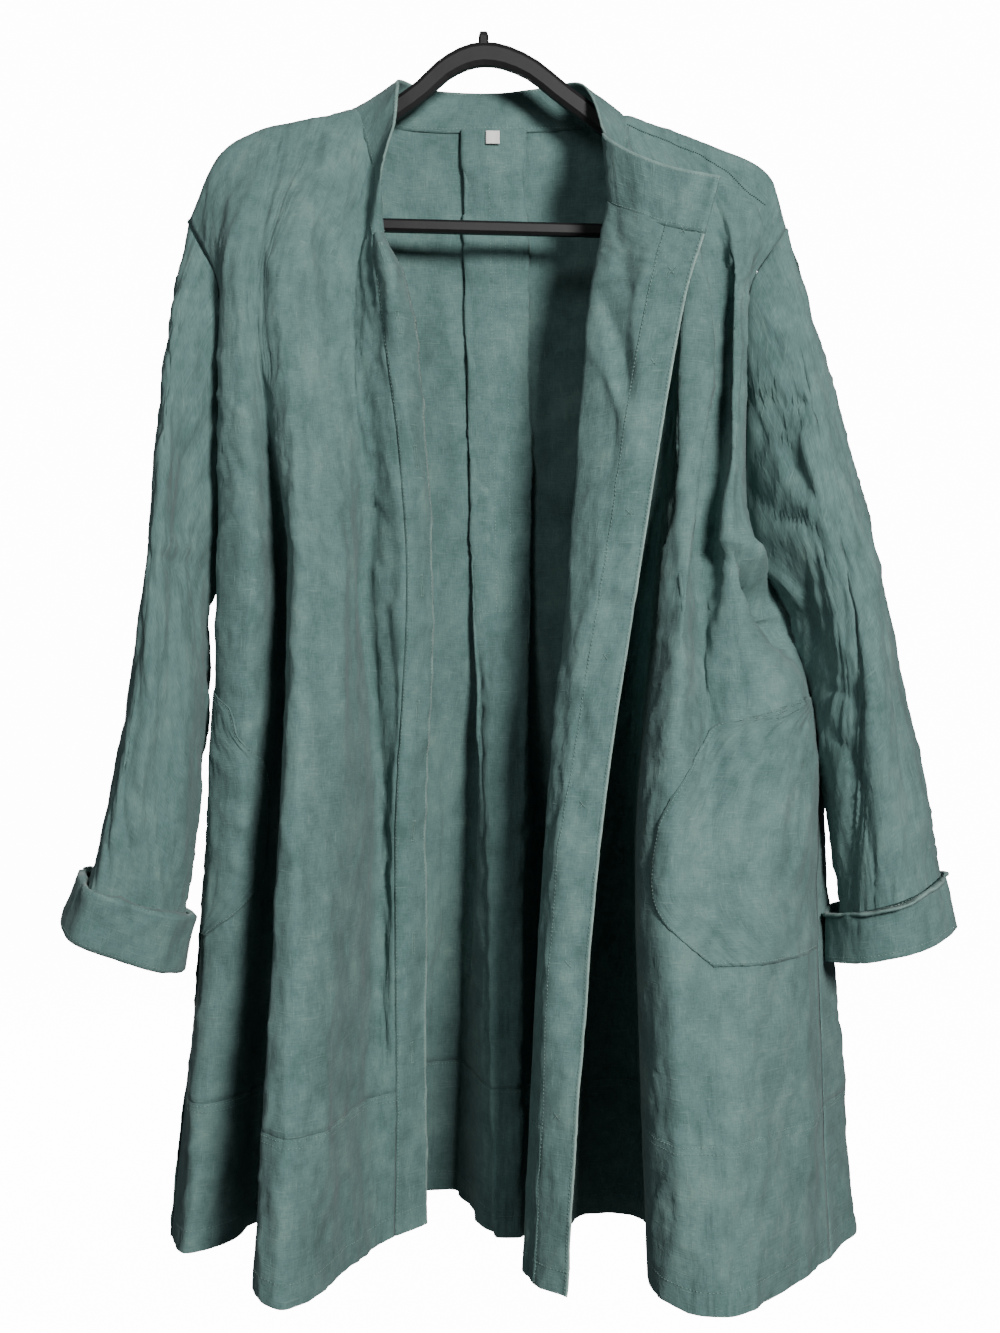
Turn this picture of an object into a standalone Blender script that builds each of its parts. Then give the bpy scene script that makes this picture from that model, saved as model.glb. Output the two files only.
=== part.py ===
# A linen duster coat hanging open on a plain hanger.
# Metres, +Z up, +Y away from the viewer, origin at the top of the hanger's stub.
# Tables are in millimetres, as a cutter would note them on the hanging coat.

import bisect
import math
import bmesh
import bpy
from mathutils import Vector

MM = 0.001
CLOTH = 1.5          # wall of a panel, with its turned-in seams
GAP = 0.3            # pieces part at a seam by this much
CHEST, WAIST, HIP = -250.0, -490.0, -750.0     # heights of the middle columns
DOWN = (0.0, 0.17, 0.44, 0.70, 1.0)            # the same columns as shares of the drop
BAND = 0.885         # where the deep hem band is sewn on
RIDGE = 9.0          # how far the cloth bends over the hanger's arms

COLOURS = {
    "linen": (0.135, 0.215, 0.195, 1.0),
    "plastic": (0.045, 0.042, 0.044, 1.0),
    "white": (0.75, 0.75, 0.73, 1.0),
}

# Each row is one fold line, from the neck or shoulder down to the hem.
# name, top (x, y, z), chest (x, y), waist (x, y), hip (x, y), hem (x, y, z)
FRONT_RIGHT = (
    ("placket edge", (-97, -13, -188), (-73, -2), (-56, 15), (-63, 45), (-63, 70, -1092)),
    ("placket seam", (-104, -32, -190), (-97, -28), (-77, -8), (-89, 26), (-90, 40, -1095)),
    ("placket valley", (-103, -38, -152), (-120, -48), (-113, 10), (-104, 38), (-108, 22, -1100)),
    ("inner ridge", (-107, -32, -119), (-142, -62), (-126, -28), (-120, -12), (-128, -30, -1100)),
    ("soft ridge", (-115, -19, -92), (-163, -68), (-142, -60), (-139, -68), (-151, -104, -1101)),
    ("main ridge", (-123, 0, -70), (-178, -66), (-162, -75), (-165, -105), (-176, -133, -1100)),
    ("ridge edge", (-146, 0, -76), (-192, -60), (-176, -56), (-181, -88), (-196, -115, -1094)),
    ("deep valley", (-173, 0, -81), (-205, -52), (-185, 4), (-192, 28), (-213, 78, -1089)),
    ("side ridge", (-207, 0, -88), (-219, -56), (-211, -48), (-224, -18), (-245, 30, -1096)),
    ("side turn", (-243, 0, -109), (-236, -44), (-240, -30), (-251, -2), (-278, 8, -1100)),
    ("side seam", (-272, 3, -168), (-241, -20), (-245, 12), (-262, 38), (-297, 50, -1098)),
)
BACK = (
    ("side seam", (-272, 3, -168), (-243, 40), (-245, 12), (-262, 38), (-297, 50, -1098)),
    ("side turn", (-243, 0, -109), (-236, 58), (-238, 62), (-266, 90), (-293, 112, -1093)),
    ("blade fold", (-207, 0, -88), (-219, 60), (-216, 88), (-236, 122), (-251, 160, -1090)),
    ("blade", (-173, 0, -81), (-184, 64), (-180, 64), (-184, 90), (-188, 130, -1088)),
    ("yoke", (-146, 0, -76), (-158, 62), (-150, 74), (-148, 104), (-154, 150, -1088)),
    ("neck point", (-123, 0, -70), (-133, 62), (-116, 80), (-113, 112), (-122, 158, -1089)),
    ("neck back", (-84, 40, -74), (-77, 60), (-68, 66), (-65, 100), (-78, 166, -1090)),
)
BACK_LEFT = (
    ("neck back", (88, 40, -73), (86, 62), (88, 70), (92, 110), (98, 166, -1090)),
    ("neck point", (118, 0, -76), (134, 62), (130, 82), (134, 118), (145, 160, -1093)),
    ("yoke", (142, 0, -83), (160, 64), (160, 72), (168, 104), (184, 150, -1094)),
    ("blade", (170, 0, -93), (186, 62), (192, 66), (210, 95), (226, 145, -1095)),
    ("blade fold", (205, 0, -106), (213, 58), (228, 84), (268, 106), (292, 150, -1095)),
    ("side turn", (246, 0, -128), (229, 48), (242, 56), (300, 52), (339, 88, -1098)),
    ("side seam", (264, 3, -176), (227, 32), (230, 18), (279, -12), (302, -6, -1100)),
)
FRONT_LEFT = (
    ("free edge", (178, -92, -208), (165, -92), (125, -94), (89, -94), (63, -105, -1100)),
    ("placket seam", (145, -91, -199), (132, -91), (93, -92), (56, -84), (37, -78, -1098)),
    ("flap", (122, -86, -187), (109, -84), (80, -82), (49, -72), (32, -60, -1098)),
    ("fold", (100, -68, -171), (86, -64), (67, -64), (44, -54), (27, -38, -1096)),
    ("under fold", (106, -50, -156), (97, -47), (77, -44), (55, -26), (40, -14, -1095)),
    ("neck front", (113, -46, -138), (136, -48), (108, 6), (92, 55), (88, 102, -1093)),
    ("neck side", (117, -34, -112), (158, -46), (138, 8), (126, 72), (138, 100, -1095)),
    ("ridge edge", (118, 0, -76), (173, -58), (149, -58), (127, -92), (136, -112, -1092)),
    ("light ridge", (142, 0, -83), (187, -66), (168, -78), (150, -124), (165, -144, -1100)),
    ("dark valley", (170, 0, -93), (200, -36), (188, -28), (184, -108), (195, -146, -1101)),
    ("outer ridge", (205, 0, -106), (214, -46), (205, -54), (218, -106), (227, -116, -1100)),
    ("side turn", (246, 0, -128), (224, -36), (219, -40), (254, -68), (269, -55, -1100)),
    ("side seam", (264, 3, -176), (227, -16), (230, 18), (279, -12), (302, -6, -1100)),
)

# The inverted pleat, seen from inside: half widths, and how far its strip stands forward.
# height share, middle x, outer folds half apart, strip half width, strip y, back y
PLEAT = (
    (0.00, 1.0, 2.6, 30.0, 39.5, 47.0),
    (0.17, 4.0, 2.6, 30.0, 57.0, 64.5),
    (0.42, 8.0, 2.6, 29.0, 62.0, 69.5),
    (0.52, 9.0, 14.0, 26.0, 60.0, 78.0),
    (0.70, 11.0, 32.0, 21.0, 56.0, 116.0),
    (1.00, 14.0, 48.0, 15.0, 38.0, 164.0),
)

# A row for each ring of a sleeve, from the armhole down. Its last ring is worked out from the cuff's fold.
# name, outer (x, z), inner (x, z), crease share, crease y, front y, back y
SLEEVE_RIGHT = (
    ("shoulder", (-284, -226), (-256, -522), 0.70, -52, -40, 62),
    ("upper arm", (-294, -304), (-256, -560), 0.70, -70, -56, 66),
    ("biceps", (-302, -385), (-256, -602), 0.70, -76, -64, 60),
    ("elbow", (-310, -475), (-259, -648), 0.72, -80, -68, 46),
    ("forearm", (-321, -556), (-263, -692), 0.74, -80, -68, 34),
    ("lower arm", (-333, -632), (-267, -737), 0.76, -78, -66, 26),
    ("wrist", (-345, -695), (-272, -766), 0.76, -74, -62, 18),
    ("cuff top", (-357, -748), (-277, -792), 0.76, -68, -58, 14),
)
SLEEVE_LEFT = (
    ("shoulder", (277, -226), (244, -522), 0.66, -44, -40, 56),
    ("upper arm", (294, -290), (258, -548), 0.62, -64, -56, 60),
    ("biceps", (313, -362), (272, -578), 0.58, -74, -64, 58),
    ("elbow", (331, -432), (284, -612), 0.56, -80, -68, 52),
    ("forearm", (350, -505), (292, -652), 0.56, -80, -66, 46),
    ("lower arm", (368, -585), (300, -695), 0.54, -76, -62, 40),
    ("wrist", (383, -660), (306, -735), 0.52, -70, -58, 32),
    ("cuff top", (396, -742), (313, -788), 0.52, -64, -54, 26),
)
# The turned-back cuffs stand a little off the sleeves: the fold at the bottom, then the raw side's edge.
CUFF_RIGHT = (
    ("fold", (-385, -795), (-279, -842), 0.76, -72, -62, 18),
    ("middle", (-376, -774), (-274, -817), 0.76, -75, -65, 21),
    ("edge", (-366, -753), (-269, -793), 0.76, -77, -67, 23),
)
CUFF_LEFT = (
    ("fold", (417, -803), (300, -834), 0.52, -69, -60, 30),
    ("middle", (413, -778), (299, -812), 0.52, -72, -62, 33),
    ("edge", (407, -753), (298, -790), 0.52, -74, -64, 35),
)

# The collar's top edge, from its right front end round the back to its turned-back left end.
COLLAR_TOP = (
    (-98, -11, -145), (-95, -12, -128), (-91, -12, -112), (-86, -13, -92), (-83, -16, -58), (-83, 3, -42),
    (-58, 40, -39), (0, 47, -40), (50, 42, -36), (78, 6, -44),
    (90, -24, -70), (95, -40, -94), (98, -49, -104), (96, -66, -112), (118, -84, -134), (148, -90, -150),
    (190, -93, -162),
)
COLLAR_START = 1.6   # the stand starts this far above the neckline's edge

BUTTON_PLACES = (0.01, 0.14, 0.265, 0.39, 0.515, 0.64, 0.765, 0.875)
BUTTON_RADIUS = 7.5
BUTTON_THICK = 2.4


# Smooth lines through table columns

def slope_at(knots, values, index):
    if index == 0 or index == len(knots) - 1:
        near = min(max(index, 1), len(knots) - 1)
        return (values[near] - values[near - 1]) / (knots[near] - knots[near - 1])
    before = knots[index] - knots[index - 1]
    after = knots[index + 1] - knots[index]
    rise_before = (values[index] - values[index - 1]) / before
    rise_after = (values[index + 1] - values[index]) / after
    if rise_before * rise_after <= 0:
        return 0.0
    return 2 * rise_before * rise_after / (rise_before + rise_after)


def between(knots, values, share):
    """Cubic line through a table's columns."""
    step = min(max(bisect.bisect_right(knots, share) - 1, 0), len(knots) - 2)
    length = knots[step + 1] - knots[step]
    part = (share - knots[step]) / length
    part = min(max(part, -0.2), 1.2)
    start, end = values[step], values[step + 1]
    lean_start = slope_at(knots, values, step) * length
    lean_end = slope_at(knots, values, step + 1) * length
    square, cube = part * part, part * part * part
    return ((2 * cube - 3 * square + 1) * start + (cube - 2 * square + part) * lean_start
            + (3 * square - 2 * cube) * end + (cube - square) * lean_end)


def through(points, steps, closed=False):
    """Centripetal curve through points, with a number of steps for each stretch."""
    count = len(points)
    stretches = count if closed else count - 1
    line = []
    for index in range(stretches):
        here, there = points[index], points[(index + 1) % count]
        before = points[(index - 1) % count] if closed or index > 0 else here * 2 - there
        past = there * 2 - here
        after = points[(index + 2) % count] if closed or index + 2 < count else past
        number = steps[index] if isinstance(steps, (list, tuple)) else steps
        gaps = [max((b - a).length, 1e-6) ** 0.5 for a, b in
                ((before, here), (here, there), (there, after))]
        t1, t2, t3 = gaps[0], gaps[0] + gaps[1], sum(gaps)
        for step in range(number):
            t = t1 + (t2 - t1) * step / number
            a1 = before * ((t1 - t) / t1) + here * (t / t1)
            a2 = here * ((t2 - t) / (t2 - t1)) + there * ((t - t1) / (t2 - t1))
            a3 = there * ((t3 - t) / (t3 - t2)) + after * ((t - t2) / (t3 - t2))
            b1 = a1 * ((t2 - t) / t2) + a2 * (t / t2)
            b2 = a2 * ((t3 - t) / (t3 - t1)) + a3 * ((t - t1) / (t3 - t1))
            line.append(b1 * ((t2 - t) / (t2 - t1)) + b2 * ((t - t1) / (t2 - t1)))
    if not closed:
        line.append(points[-1].copy())
    return line


# The body's cloth

def fold_point(row, share, side=0.0):
    """A point of one fold line. The cloth bends over the hanger's arm near its top."""
    top, chest, waist, hip, hem = row[1:]
    x = between(DOWN, (top[0], chest[0], waist[0], hip[0], hem[0]), share)
    y = between(DOWN, (top[1], chest[1], waist[1], hip[1], hem[1]), share)
    z = between(DOWN, (top[2], CHEST, WAIST, HIP, hem[2]), share)
    drop = top[2] - z
    if drop < RIDGE:
        bend = math.sqrt(max(drop * (2 * RIDGE - drop), 0.0))
    else:
        bend = RIDGE
    fade = max(0.0, 1.0 - share / DOWN[1]) if abs(top[1]) < 4 else 0.0
    return Vector((x, y + side * bend * fade, z))


def pleat_points(share):
    """The pleat's zigzag from the right back panel to the left one."""
    knots = [row[0] for row in PLEAT]
    middle, gap, half, strip_y, back_y = (
        between(knots, [row[column] for row in PLEAT], share) for column in range(1, 6))
    z = between(DOWN, (-75, CHEST, WAIST, HIP, -1096), share)
    back_z = between(DOWN, (-75, CHEST, WAIST, HIP, -1089), share)
    layer = (strip_y + back_y) / 2
    lean = min(6.0, half * 0.25)
    opened = min(max((gap - 2.6) / 20.0, 0.0), 1.0)
    near = (-gap - lean * 0.8) * (1 - opened) - (gap * 0.75 + half * 0.25) * opened
    near_y = layer * (1 - opened) + (back_y * 0.75 + strip_y * 0.25) * opened
    far = (-half + lean) * (1 - opened) - (gap * 0.25 + half * 0.75) * opened
    far_y = layer * (1 - opened) + (back_y * 0.25 + strip_y * 0.75) * opened
    right = (
        (-gap - 24, back_y, back_z), (-gap - lean, back_y, back_z), (-gap, (back_y + near_y) / 2, back_z),
        (near, near_y, (z + back_z) / 2), (far, far_y, z),
        (-half, (strip_y + far_y) / 2, z), (-half + lean * 0.7, strip_y, z),
    )
    left = tuple((-x, y, height) for x, y, height in reversed(right))
    line = right + ((0, strip_y - 1.0, z),) + left
    return [Vector((middle + x, y, height)) for x, y, height in line]


def body_row(part, share):
    """Fold points across a part at one share of the drop."""
    if part == "back":
        right = [fold_point(row, share, 1.0) for row in BACK]
        left = [fold_point(row, share, 1.0) for row in BACK_LEFT]
        if share >= DOWN[2]:
            right[0] = fold_point(FRONT_RIGHT[-1], share)
            left[-1] = fold_point(FRONT_LEFT[-1], share)
        return right + pleat_points(share) + left
    table = FRONT_RIGHT if part == "right" else FRONT_LEFT
    return [fold_point(row, share, -1.0) for row in table]


def shares_between(start, end, count):
    """Closer together at the top, where the cloth bends over the arm."""
    return [start + (end - start) * (index / count) ** 1.35 for index in range(count + 1)]


# Solid walls

def pull_in(line, start, end):
    """Shortens a line of points at its two ends."""
    first = line[0] + (line[1] - line[0]).normalized() * start
    last = line[-1] + (line[-2] - line[-1]).normalized() * end
    return [first] + list(line[1:-1]) + [last]


def trimmed(grid, sides, ends, closed=False):
    """Takes half the seam gap off every edge of a grid."""
    rows = [list(row) for row in grid]
    if not closed:
        rows = [pull_in(row, sides, sides) for row in rows]
    for column in range(len(rows[0])):
        line = pull_in([row[column] for row in rows], *ends)
        rows[0][column], rows[-1][column] = line[0], line[-1]
    return rows


def heading(before, here, after):
    """The way a line of points runs at one of them, midway between its two sides."""
    way = Vector()
    for start, end in ((before, here), (here, after)):
        if (end - start).length > 1e-6:
            way += (end - start).normalized()
    return way.normalized()


MITRE = 0.5          # a wall keeps its thickness round a fold as sharp as this cosine allows


def normals_of(grid, closed=False):
    rows, columns = len(grid), len(grid[0])
    normals = []
    for r in range(rows):
        line = []
        for c in range(columns):
            left = grid[r][(c - 1) % columns] if closed else grid[r][max(c - 1, 0)]
            right = grid[r][(c + 1) % columns] if closed else grid[r][min(c + 1, columns - 1)]
            across = heading(left, grid[r][c], right)
            down = heading(grid[max(r - 1, 0)][c], grid[r][c], grid[min(r + 1, rows - 1)][c])
            mitre = 1.0 / max(across.dot(heading(grid[r][c], right, right)), MITRE)
            if (right - grid[r][c]).length < 1e-6:
                mitre = 1.0
            line.append(across.cross(down).normalized() * mitre)
        normals.append(line)
    return normals


def moved_out(grid, amount, normals):
    return [[point + normal * amount for point, normal in zip(row, line)]
            for row, line in zip(grid, normals)]


def volume_of(points, faces):
    """Six times the volume inside the faces, negative where they face inwards."""
    total = 0.0
    for face in faces:
        for index in range(1, len(face) - 1):
            total += points[face[0]].dot(points[face[index]].cross(points[face[index + 1]]))
    return total


def wall(name, grid, kind="linen", closed=False, thick=CLOTH, normals=None, ends=(GAP / 2, GAP / 2)):
    """A closed wall about a grid of points, which is its middle surface."""
    normals = normals or normals_of(grid, closed)
    grid = trimmed(grid, GAP / 2, ends, closed)
    outer = moved_out(grid, thick / 2, normals)
    inner = moved_out(grid, -thick / 2, normals)
    rows, columns = len(grid), len(grid[0])
    points = [point * MM for side in (outer, inner) for row in side for point in row]
    half = rows * columns
    last = columns if closed else columns - 1
    faces = []
    for r in range(rows - 1):
        for c in range(last):
            n = (c + 1) % columns
            a, b = r * columns + c, r * columns + n
            d, e = (r + 1) * columns + c, (r + 1) * columns + n
            if (points[a] - points[e]).length < (points[b] - points[d]).length:
                halves = ((a, b, e), (a, e, d))
            else:
                halves = ((a, b, d), (b, e, d))
            for one, two, three in halves:
                faces.append((one, two, three))
                faces.append((half + one, half + three, half + two))
    for c in range(last):
        n = (c + 1) % columns
        low = (rows - 1) * columns
        faces.append((c, half + c, half + n, n))
        faces.append((low + c, low + n, half + low + n, half + low + c))
    if not closed:
        for r in range(rows - 1):
            a, d = r * columns, (r + 1) * columns
            b, e = a + columns - 1, d + columns - 1
            faces.append((a, d, half + d, half + a))
            faces.append((b, half + b, half + e, e))
    if volume_of(points, faces) < 0:
        faces = [tuple(reversed(face)) for face in faces]
    return solid(name, points, faces, kind)


def material(kind):
    found = bpy.data.materials.get(kind)
    if found:
        return found
    made = bpy.data.materials.new(kind)
    made.use_nodes = True
    shader = made.node_tree.nodes["Principled BSDF"]
    shader.inputs["Base Color"].default_value = COLOURS[kind]
    shader.inputs["Roughness"].default_value = 0.45 if kind == "plastic" else 0.85
    shader.inputs["Metallic"].default_value = 0.0
    made.diffuse_color = COLOURS[kind]
    return made


def solid(name, points, faces, kind):
    mesh = bpy.data.meshes.new(name)
    mesh.from_pydata([tuple(point) for point in points], [], faces)
    mesh.materials.append(material(kind))
    mesh.validate()
    mesh.shade_smooth()
    made = bpy.data.objects.new(name, mesh)
    bpy.context.scene.collection.objects.link(made)
    return made


# Fronts, plackets and hem bands are cut from one net, so that they meet edge to edge

TOP_GAP = 0.6        # fronts and back part by this much along the shoulders
NEAR_ARMPIT = 14.0   # below the armhole, side seams this close share one direction outwards
ON_RIDGE = 0.5       # points this close to y = 0 lie on the shoulder seam
STEPS = {"right": 2, "left": 2, "back": [2] * 7 + [1] * 14 + [2] * 7}
FINER = (0.50, 0.79) # twice as many rows where the pockets lie


def body_shares():
    shares = shares_between(0.0, BAND, 17) + shares_between(BAND, 1.0, 3)[1:]
    middles = [(above + below) / 2 for above, below in zip(shares, shares[1:])]
    return sorted(shares + [share for share in middles if FINER[0] < share < FINER[1]])


def body_nets():
    shares = body_shares()
    nets = {part: [through(body_row(part, share), steps) for share in shares]
            for part, steps in STEPS.items()}
    for net in nets.values():
        ridge = net[0]
        for c in range(1, len(ridge) - 1):
            if abs(ridge[c - 1].y) < ON_RIDGE and abs(ridge[c + 1].y) < ON_RIDGE:
                ridge[c].y = 0.0
                if c % 2:
                    ridge[c] = (ridge[c - 1] + ridge[c + 1]) / 2
    normals = {part: normals_of(net) for part, net in nets.items()}
    for part, side, back_column in (("right", -1, 0), ("left", -1, -1)):
        for r in range(len(shares)):
            facing = normals["back"][r][back_column].normalized()
            own = normals[part][r][side].normalized()
            if (nets[part][r][side] - nets["back"][r][back_column]).length < NEAR_ARMPIT:
                shared = (own - facing if own.dot(facing) < 0 else own + facing).normalized()
                normals[part][r][side] = shared
                normals["back"][r][back_column] = shared if shared.dot(facing) > 0 else -shared
    for part, net in nets.items():
        for c, point in enumerate(net[0]):
            if abs(point.y) < ON_RIDGE:
                up = normals[part][0][c]
                normals[part][0][c] = Vector((up.x, 0, up.z)).normalized()
    return nets, normals


def cut_piece(name, net, normals, rows, columns, top=GAP / 2):
    grid = [row[columns[0]:columns[1]] for row in net[rows[0]:rows[1]]]
    lines = [line[columns[0]:columns[1]] for line in normals[rows[0]:rows[1]]]
    wall(name, grid, normals=lines, ends=(top, GAP / 2))


def build_body():
    nets, normals = body_nets()
    seam = body_shares().index(BAND)
    for side, net in nets.items():
        lines = normals[side]
        columns = (0 if side == "back" else 2, len(net[0]))
        name = "back" if side == "back" else "front_" + side
        cut_piece(name, net, lines, (0, seam + 1), columns, top=TOP_GAP)
        cut_piece("hem_" + side, net, lines, (seam, len(net)), columns)
        if side != "back":
            cut_piece("placket_" + side, net, lines, (0, len(net)), (0, 3), top=TOP_GAP)


# The half-moon pockets are patches laid on the fronts' own points.
# share of the drop, fold line where the mouth's curve runs (counted from the placket edge)
POCKET_RIGHT = (
    (0.545, 9.3), (0.561, 8.5), (0.585, 8.2), (0.61, 7.6), (0.655, 7.4), (0.70, 7.4), (0.73, 7.9), (0.757, 9.0),
)
POCKET_LEFT = (
    (0.552, 11.4), (0.565, 10.3), (0.578, 9.2), (0.60, 8.6), (0.63, 8.0), (0.66, 7.55), (0.69, 7.4),
    (0.715, 7.5), (0.74, 8.1), (0.763, 9.0),
)
POCKET_OUT = 2.4     # its under side lies this far out from the middle of the front's wall
POCKET_ROWS = 0.0015 # its rows are never closer together than this share of the drop
NEAR_LINE = 0.25     # its curve runs through one of the front's own points when it is this near


def pocket_levels(knots, edge, steps, shares):
    """The rows of a patch: the front's own, and each place where the curve meets one of its lines."""
    levels = [knots[0], knots[-1]] + [share for share in shares if knots[0] < share < knots[-1]]
    fine = [knots[0] + (knots[-1] - knots[0]) * index / 400 for index in range(401)]
    for above, below in zip(fine, fine[1:]):
        start, end = (between(knots, edge, share) * steps for share in (above, below))
        if math.floor(start) != math.floor(end):
            if all(abs(above - level) > POCKET_ROWS for level in levels):
                levels.append((above + below) / 2)
    return sorted(levels)


def pocket_patch(part, table, net, shares):
    """Points on the front's own net, between the pocket's curve and the side seam, and their faces."""
    knots = [row[0] for row in table]
    edge = [row[1] for row in table]
    seam = len(net[0]) - 1
    columns = list(range(int(min(edge) * STEPS[part]), seam)) + [seam - 0.12]
    points, places, rows = [], {}, []
    for level in pocket_levels(knots, edge, STEPS[part], shares):
        start = between(knots, edge, level) * STEPS[part]
        if abs(start - round(start)) < NEAR_LINE:
            start = round(start)
        upper = bisect.bisect_right(shares, level) - 1
        down = (level - shares[upper]) / (shares[upper + 1] - shares[upper])
        row = []
        for column in columns:
            place = column if column > start + NEAR_LINE else start
            if (level, place) not in places:
                low = min(int(place), seam - 1)
                above = net[upper][low].lerp(net[upper][low + 1], place - low)
                below = net[upper + 1][low].lerp(net[upper + 1][low + 1], place - low)
                places[(level, place)] = len(points)
                points.append(above.lerp(below, down))
            row.append(places[(level, place)])
        rows.append(row)
    faces = []
    for above, below in zip(rows, rows[1:]):
        for c in range(len(columns) - 1):
            corners = [above[c], above[c + 1], below[c + 1], below[c]]
            corners = [corner for place, corner in enumerate(corners) if corner not in corners[:place]]
            if len(corners) == 3:
                faces.append(corners)
            elif len(corners) == 4:
                a, b, d, e = corners
                if (points[a] - points[d]).length < (points[b] - points[e]).length:
                    faces += [[a, b, d], [a, d, e]]
                else:
                    faces += [[a, b, e], [b, d, e]]
    return points, faces


def patch_wall(name, points, faces, out, thick):
    """A closed wall laid out from a patch of points, as a second layer of cloth."""
    mesh = bmesh.new()
    corners = [mesh.verts.new(point) for point in points]
    for face in faces:
        mesh.faces.new([corners[index] for index in face])
    mesh.normal_update()
    facing = [corner.normal * min(corner.calc_shell_factor(), 2.0) for corner in corners]
    if sum(way.y for way in facing) > 0:
        facing = [-way for way in facing]
    under = [point + way * out for point, way in zip(points, facing)]
    over = [point + way * (out + thick) for point, way in zip(points, facing)]
    count = len(points)
    rim = [edge for edge in mesh.edges if len(edge.link_faces) == 1]
    mesh.verts.index_update()
    sides = []
    for edge in rim:
        for loop in edge.link_loops:
            a, b = loop.vert.index, loop.link_loop_next.vert.index
            sides.append((b, a, a + count, b + count))
    mesh.free()
    closed = [tuple(face) for face in faces]
    closed += [tuple(index + count for index in reversed(face)) for face in faces] + sides
    solid_points = [point * MM for point in under + over]
    if volume_of(solid_points, closed) < 0:
        closed = [tuple(reversed(face)) for face in closed]
    return solid(name, solid_points, closed, "linen")


def build_pockets():
    nets, normals = body_nets()
    shares = body_shares()
    for side, table in (("right", POCKET_RIGHT), ("left", POCKET_LEFT)):
        points, faces = pocket_patch(side, table, nets[side], shares)
        patch_wall("pocket_" + side, points, faces, POCKET_OUT, 1.2)


# Sleeves and their turned-back cuffs

def ring_points(row):
    name, outer, inner, crease_share, crease_y, front_y, back_y = row
    top = Vector((outer[0], 0, outer[1]))
    low = Vector((inner[0], 0, inner[1]))
    places = (
        (1.0, 4), ((1.0 + crease_share) / 2, crease_y * 0.72), (crease_share, crease_y),
        (crease_share * 0.55, front_y), (0.14, front_y * 0.72), (0.0, 4),
        (0.14, back_y * 0.78), (0.45, back_y), (0.72, back_y * 0.95), (0.92, back_y * 0.6),
    )
    return [low.lerp(top, share) + Vector((0, y, 0)) for share, y in places]


ARMHOLE_CLEAR = 2.4  # the sleeve starts this far outside the armhole's edge


def armhole_points(front, back):
    """The armhole's edge, from the shoulder down the front and up the back."""
    shares = (0.0, 0.06, 0.14, 0.27, 0.38, DOWN[2])
    down = [fold_point(front[-1], share) for share in shares]
    rise = [fold_point(back, share) for share in (0.38, 0.27, 0.14, 0.06)]
    outward = math.copysign(ARMHOLE_CLEAR, down[0].x)
    return [point + Vector((outward, 0, 0)) for point in down + rise]


CUFF_SEAM = 2.3      # middle of the sleeve's wall to the middle of the cuff's, at the fold


def inside_fold(row):
    """The sleeve's lower edge, one seam gap inside the fold of its cuff."""
    ring = ring_points(row)
    centre = sum(ring, Vector()) / len(ring)
    return [point + (centre - point).normalized() * CUFF_SEAM for point in ring]


def sleeve_grid(table, cuff, front, back, around, along):
    rings = [armhole_points(front, back)] + [ring_points(row) for row in table] + [inside_fold(cuff[0])]
    rings = [through(ring, around, closed=True) for ring in rings]
    columns = len(rings[0])
    lines = [through([ring[c] for ring in rings], along) for c in range(columns)]
    return [[lines[c][r] for c in range(columns)] for r in range(len(lines[0]))]


def build_sleeves():
    sides = (("right", SLEEVE_RIGHT, CUFF_RIGHT, FRONT_RIGHT, BACK[0]),
             ("left", SLEEVE_LEFT, CUFF_LEFT, FRONT_LEFT, BACK_LEFT[-1]))
    for side, table, cuff, front, back in sides:
        wall("sleeve_" + side, sleeve_grid(table, cuff, front, back, 2, 2), closed=True, ends=(1.8, GAP / 2))
        rings = [through(ring_points(row), 2, closed=True) for row in cuff]
        wall("cuff_" + side, rings, closed=True)


# The stand collar is one strip that rises from the neckline

def build_collar():
    low = [fold_point(row, 0.0) for row in FRONT_RIGHT[:6]]
    low += [fold_point(BACK[-1], 0.0), Vector((1, 43, -75)), fold_point(BACK_LEFT[0], 0.0)]
    low += [fold_point(row, 0.0) for row in reversed(FRONT_LEFT[:8])]
    bottom = through(low, 2)
    top = through([Vector(point) for point in COLLAR_TOP], 2)
    grid = []
    for share in (0.0, 0.33, 0.66, 1.0):
        row = []
        for a, b in zip(bottom, top):
            start = a + (b - a).normalized() * COLLAR_START
            row.append(start.lerp(b, share))
        grid.append(row)
    wall("collar", grid, thick=1.4)


# Buttons, label and hanger

def disc(name, centre, normal, radius, thick, kind, sides=14):
    across = normal.orthogonal().normalized()
    up = normal.cross(across)
    points = []
    for side in (0.0, thick):
        for index in range(sides):
            turn = 2 * math.pi * index / sides
            points.append((centre + normal * side + (across * math.cos(turn) + up * math.sin(turn)) * radius) * MM)
    faces = [tuple(range(sides - 1, -1, -1)), tuple(range(sides, 2 * sides))]
    for index in range(sides):
        after = (index + 1) % sides
        faces.append((index, after, sides + after, sides + index))
    return solid(name, points, faces, kind)


def placket_row(net, shares, share):
    """The left placket's edge, middle and seam at one share of the drop."""
    upper = bisect.bisect_right(shares, share) - 1
    down = (share - shares[upper]) / (shares[upper + 1] - shares[upper])
    return [net[upper][c].lerp(net[upper + 1][c], down) for c in range(3)]


def build_buttons():
    net, shares = body_nets()[0]["left"], body_shares()
    for number, share in enumerate(BUTTON_PLACES, 1):
        rows = [placket_row(net, shares, max(share + step, 0.0)) for step in (-0.01, 0.0, 0.01)]
        edge, middle, seam = rows[1]
        normal = (seam - edge).cross(rows[2][1] - rows[0][1]).normalized()
        if normal.y < 0:
            normal = -normal
        beside = [row[c].lerp(row[1], 0.5) for row in rows for c in range(3)]
        proud = max((point - middle).dot(normal) for point in beside)
        centre = middle + normal * (proud + CLOTH / 2 + GAP)
        disc("button_%d" % number, centre, normal, BUTTON_RADIUS, BUTTON_THICK, "plastic")


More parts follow.
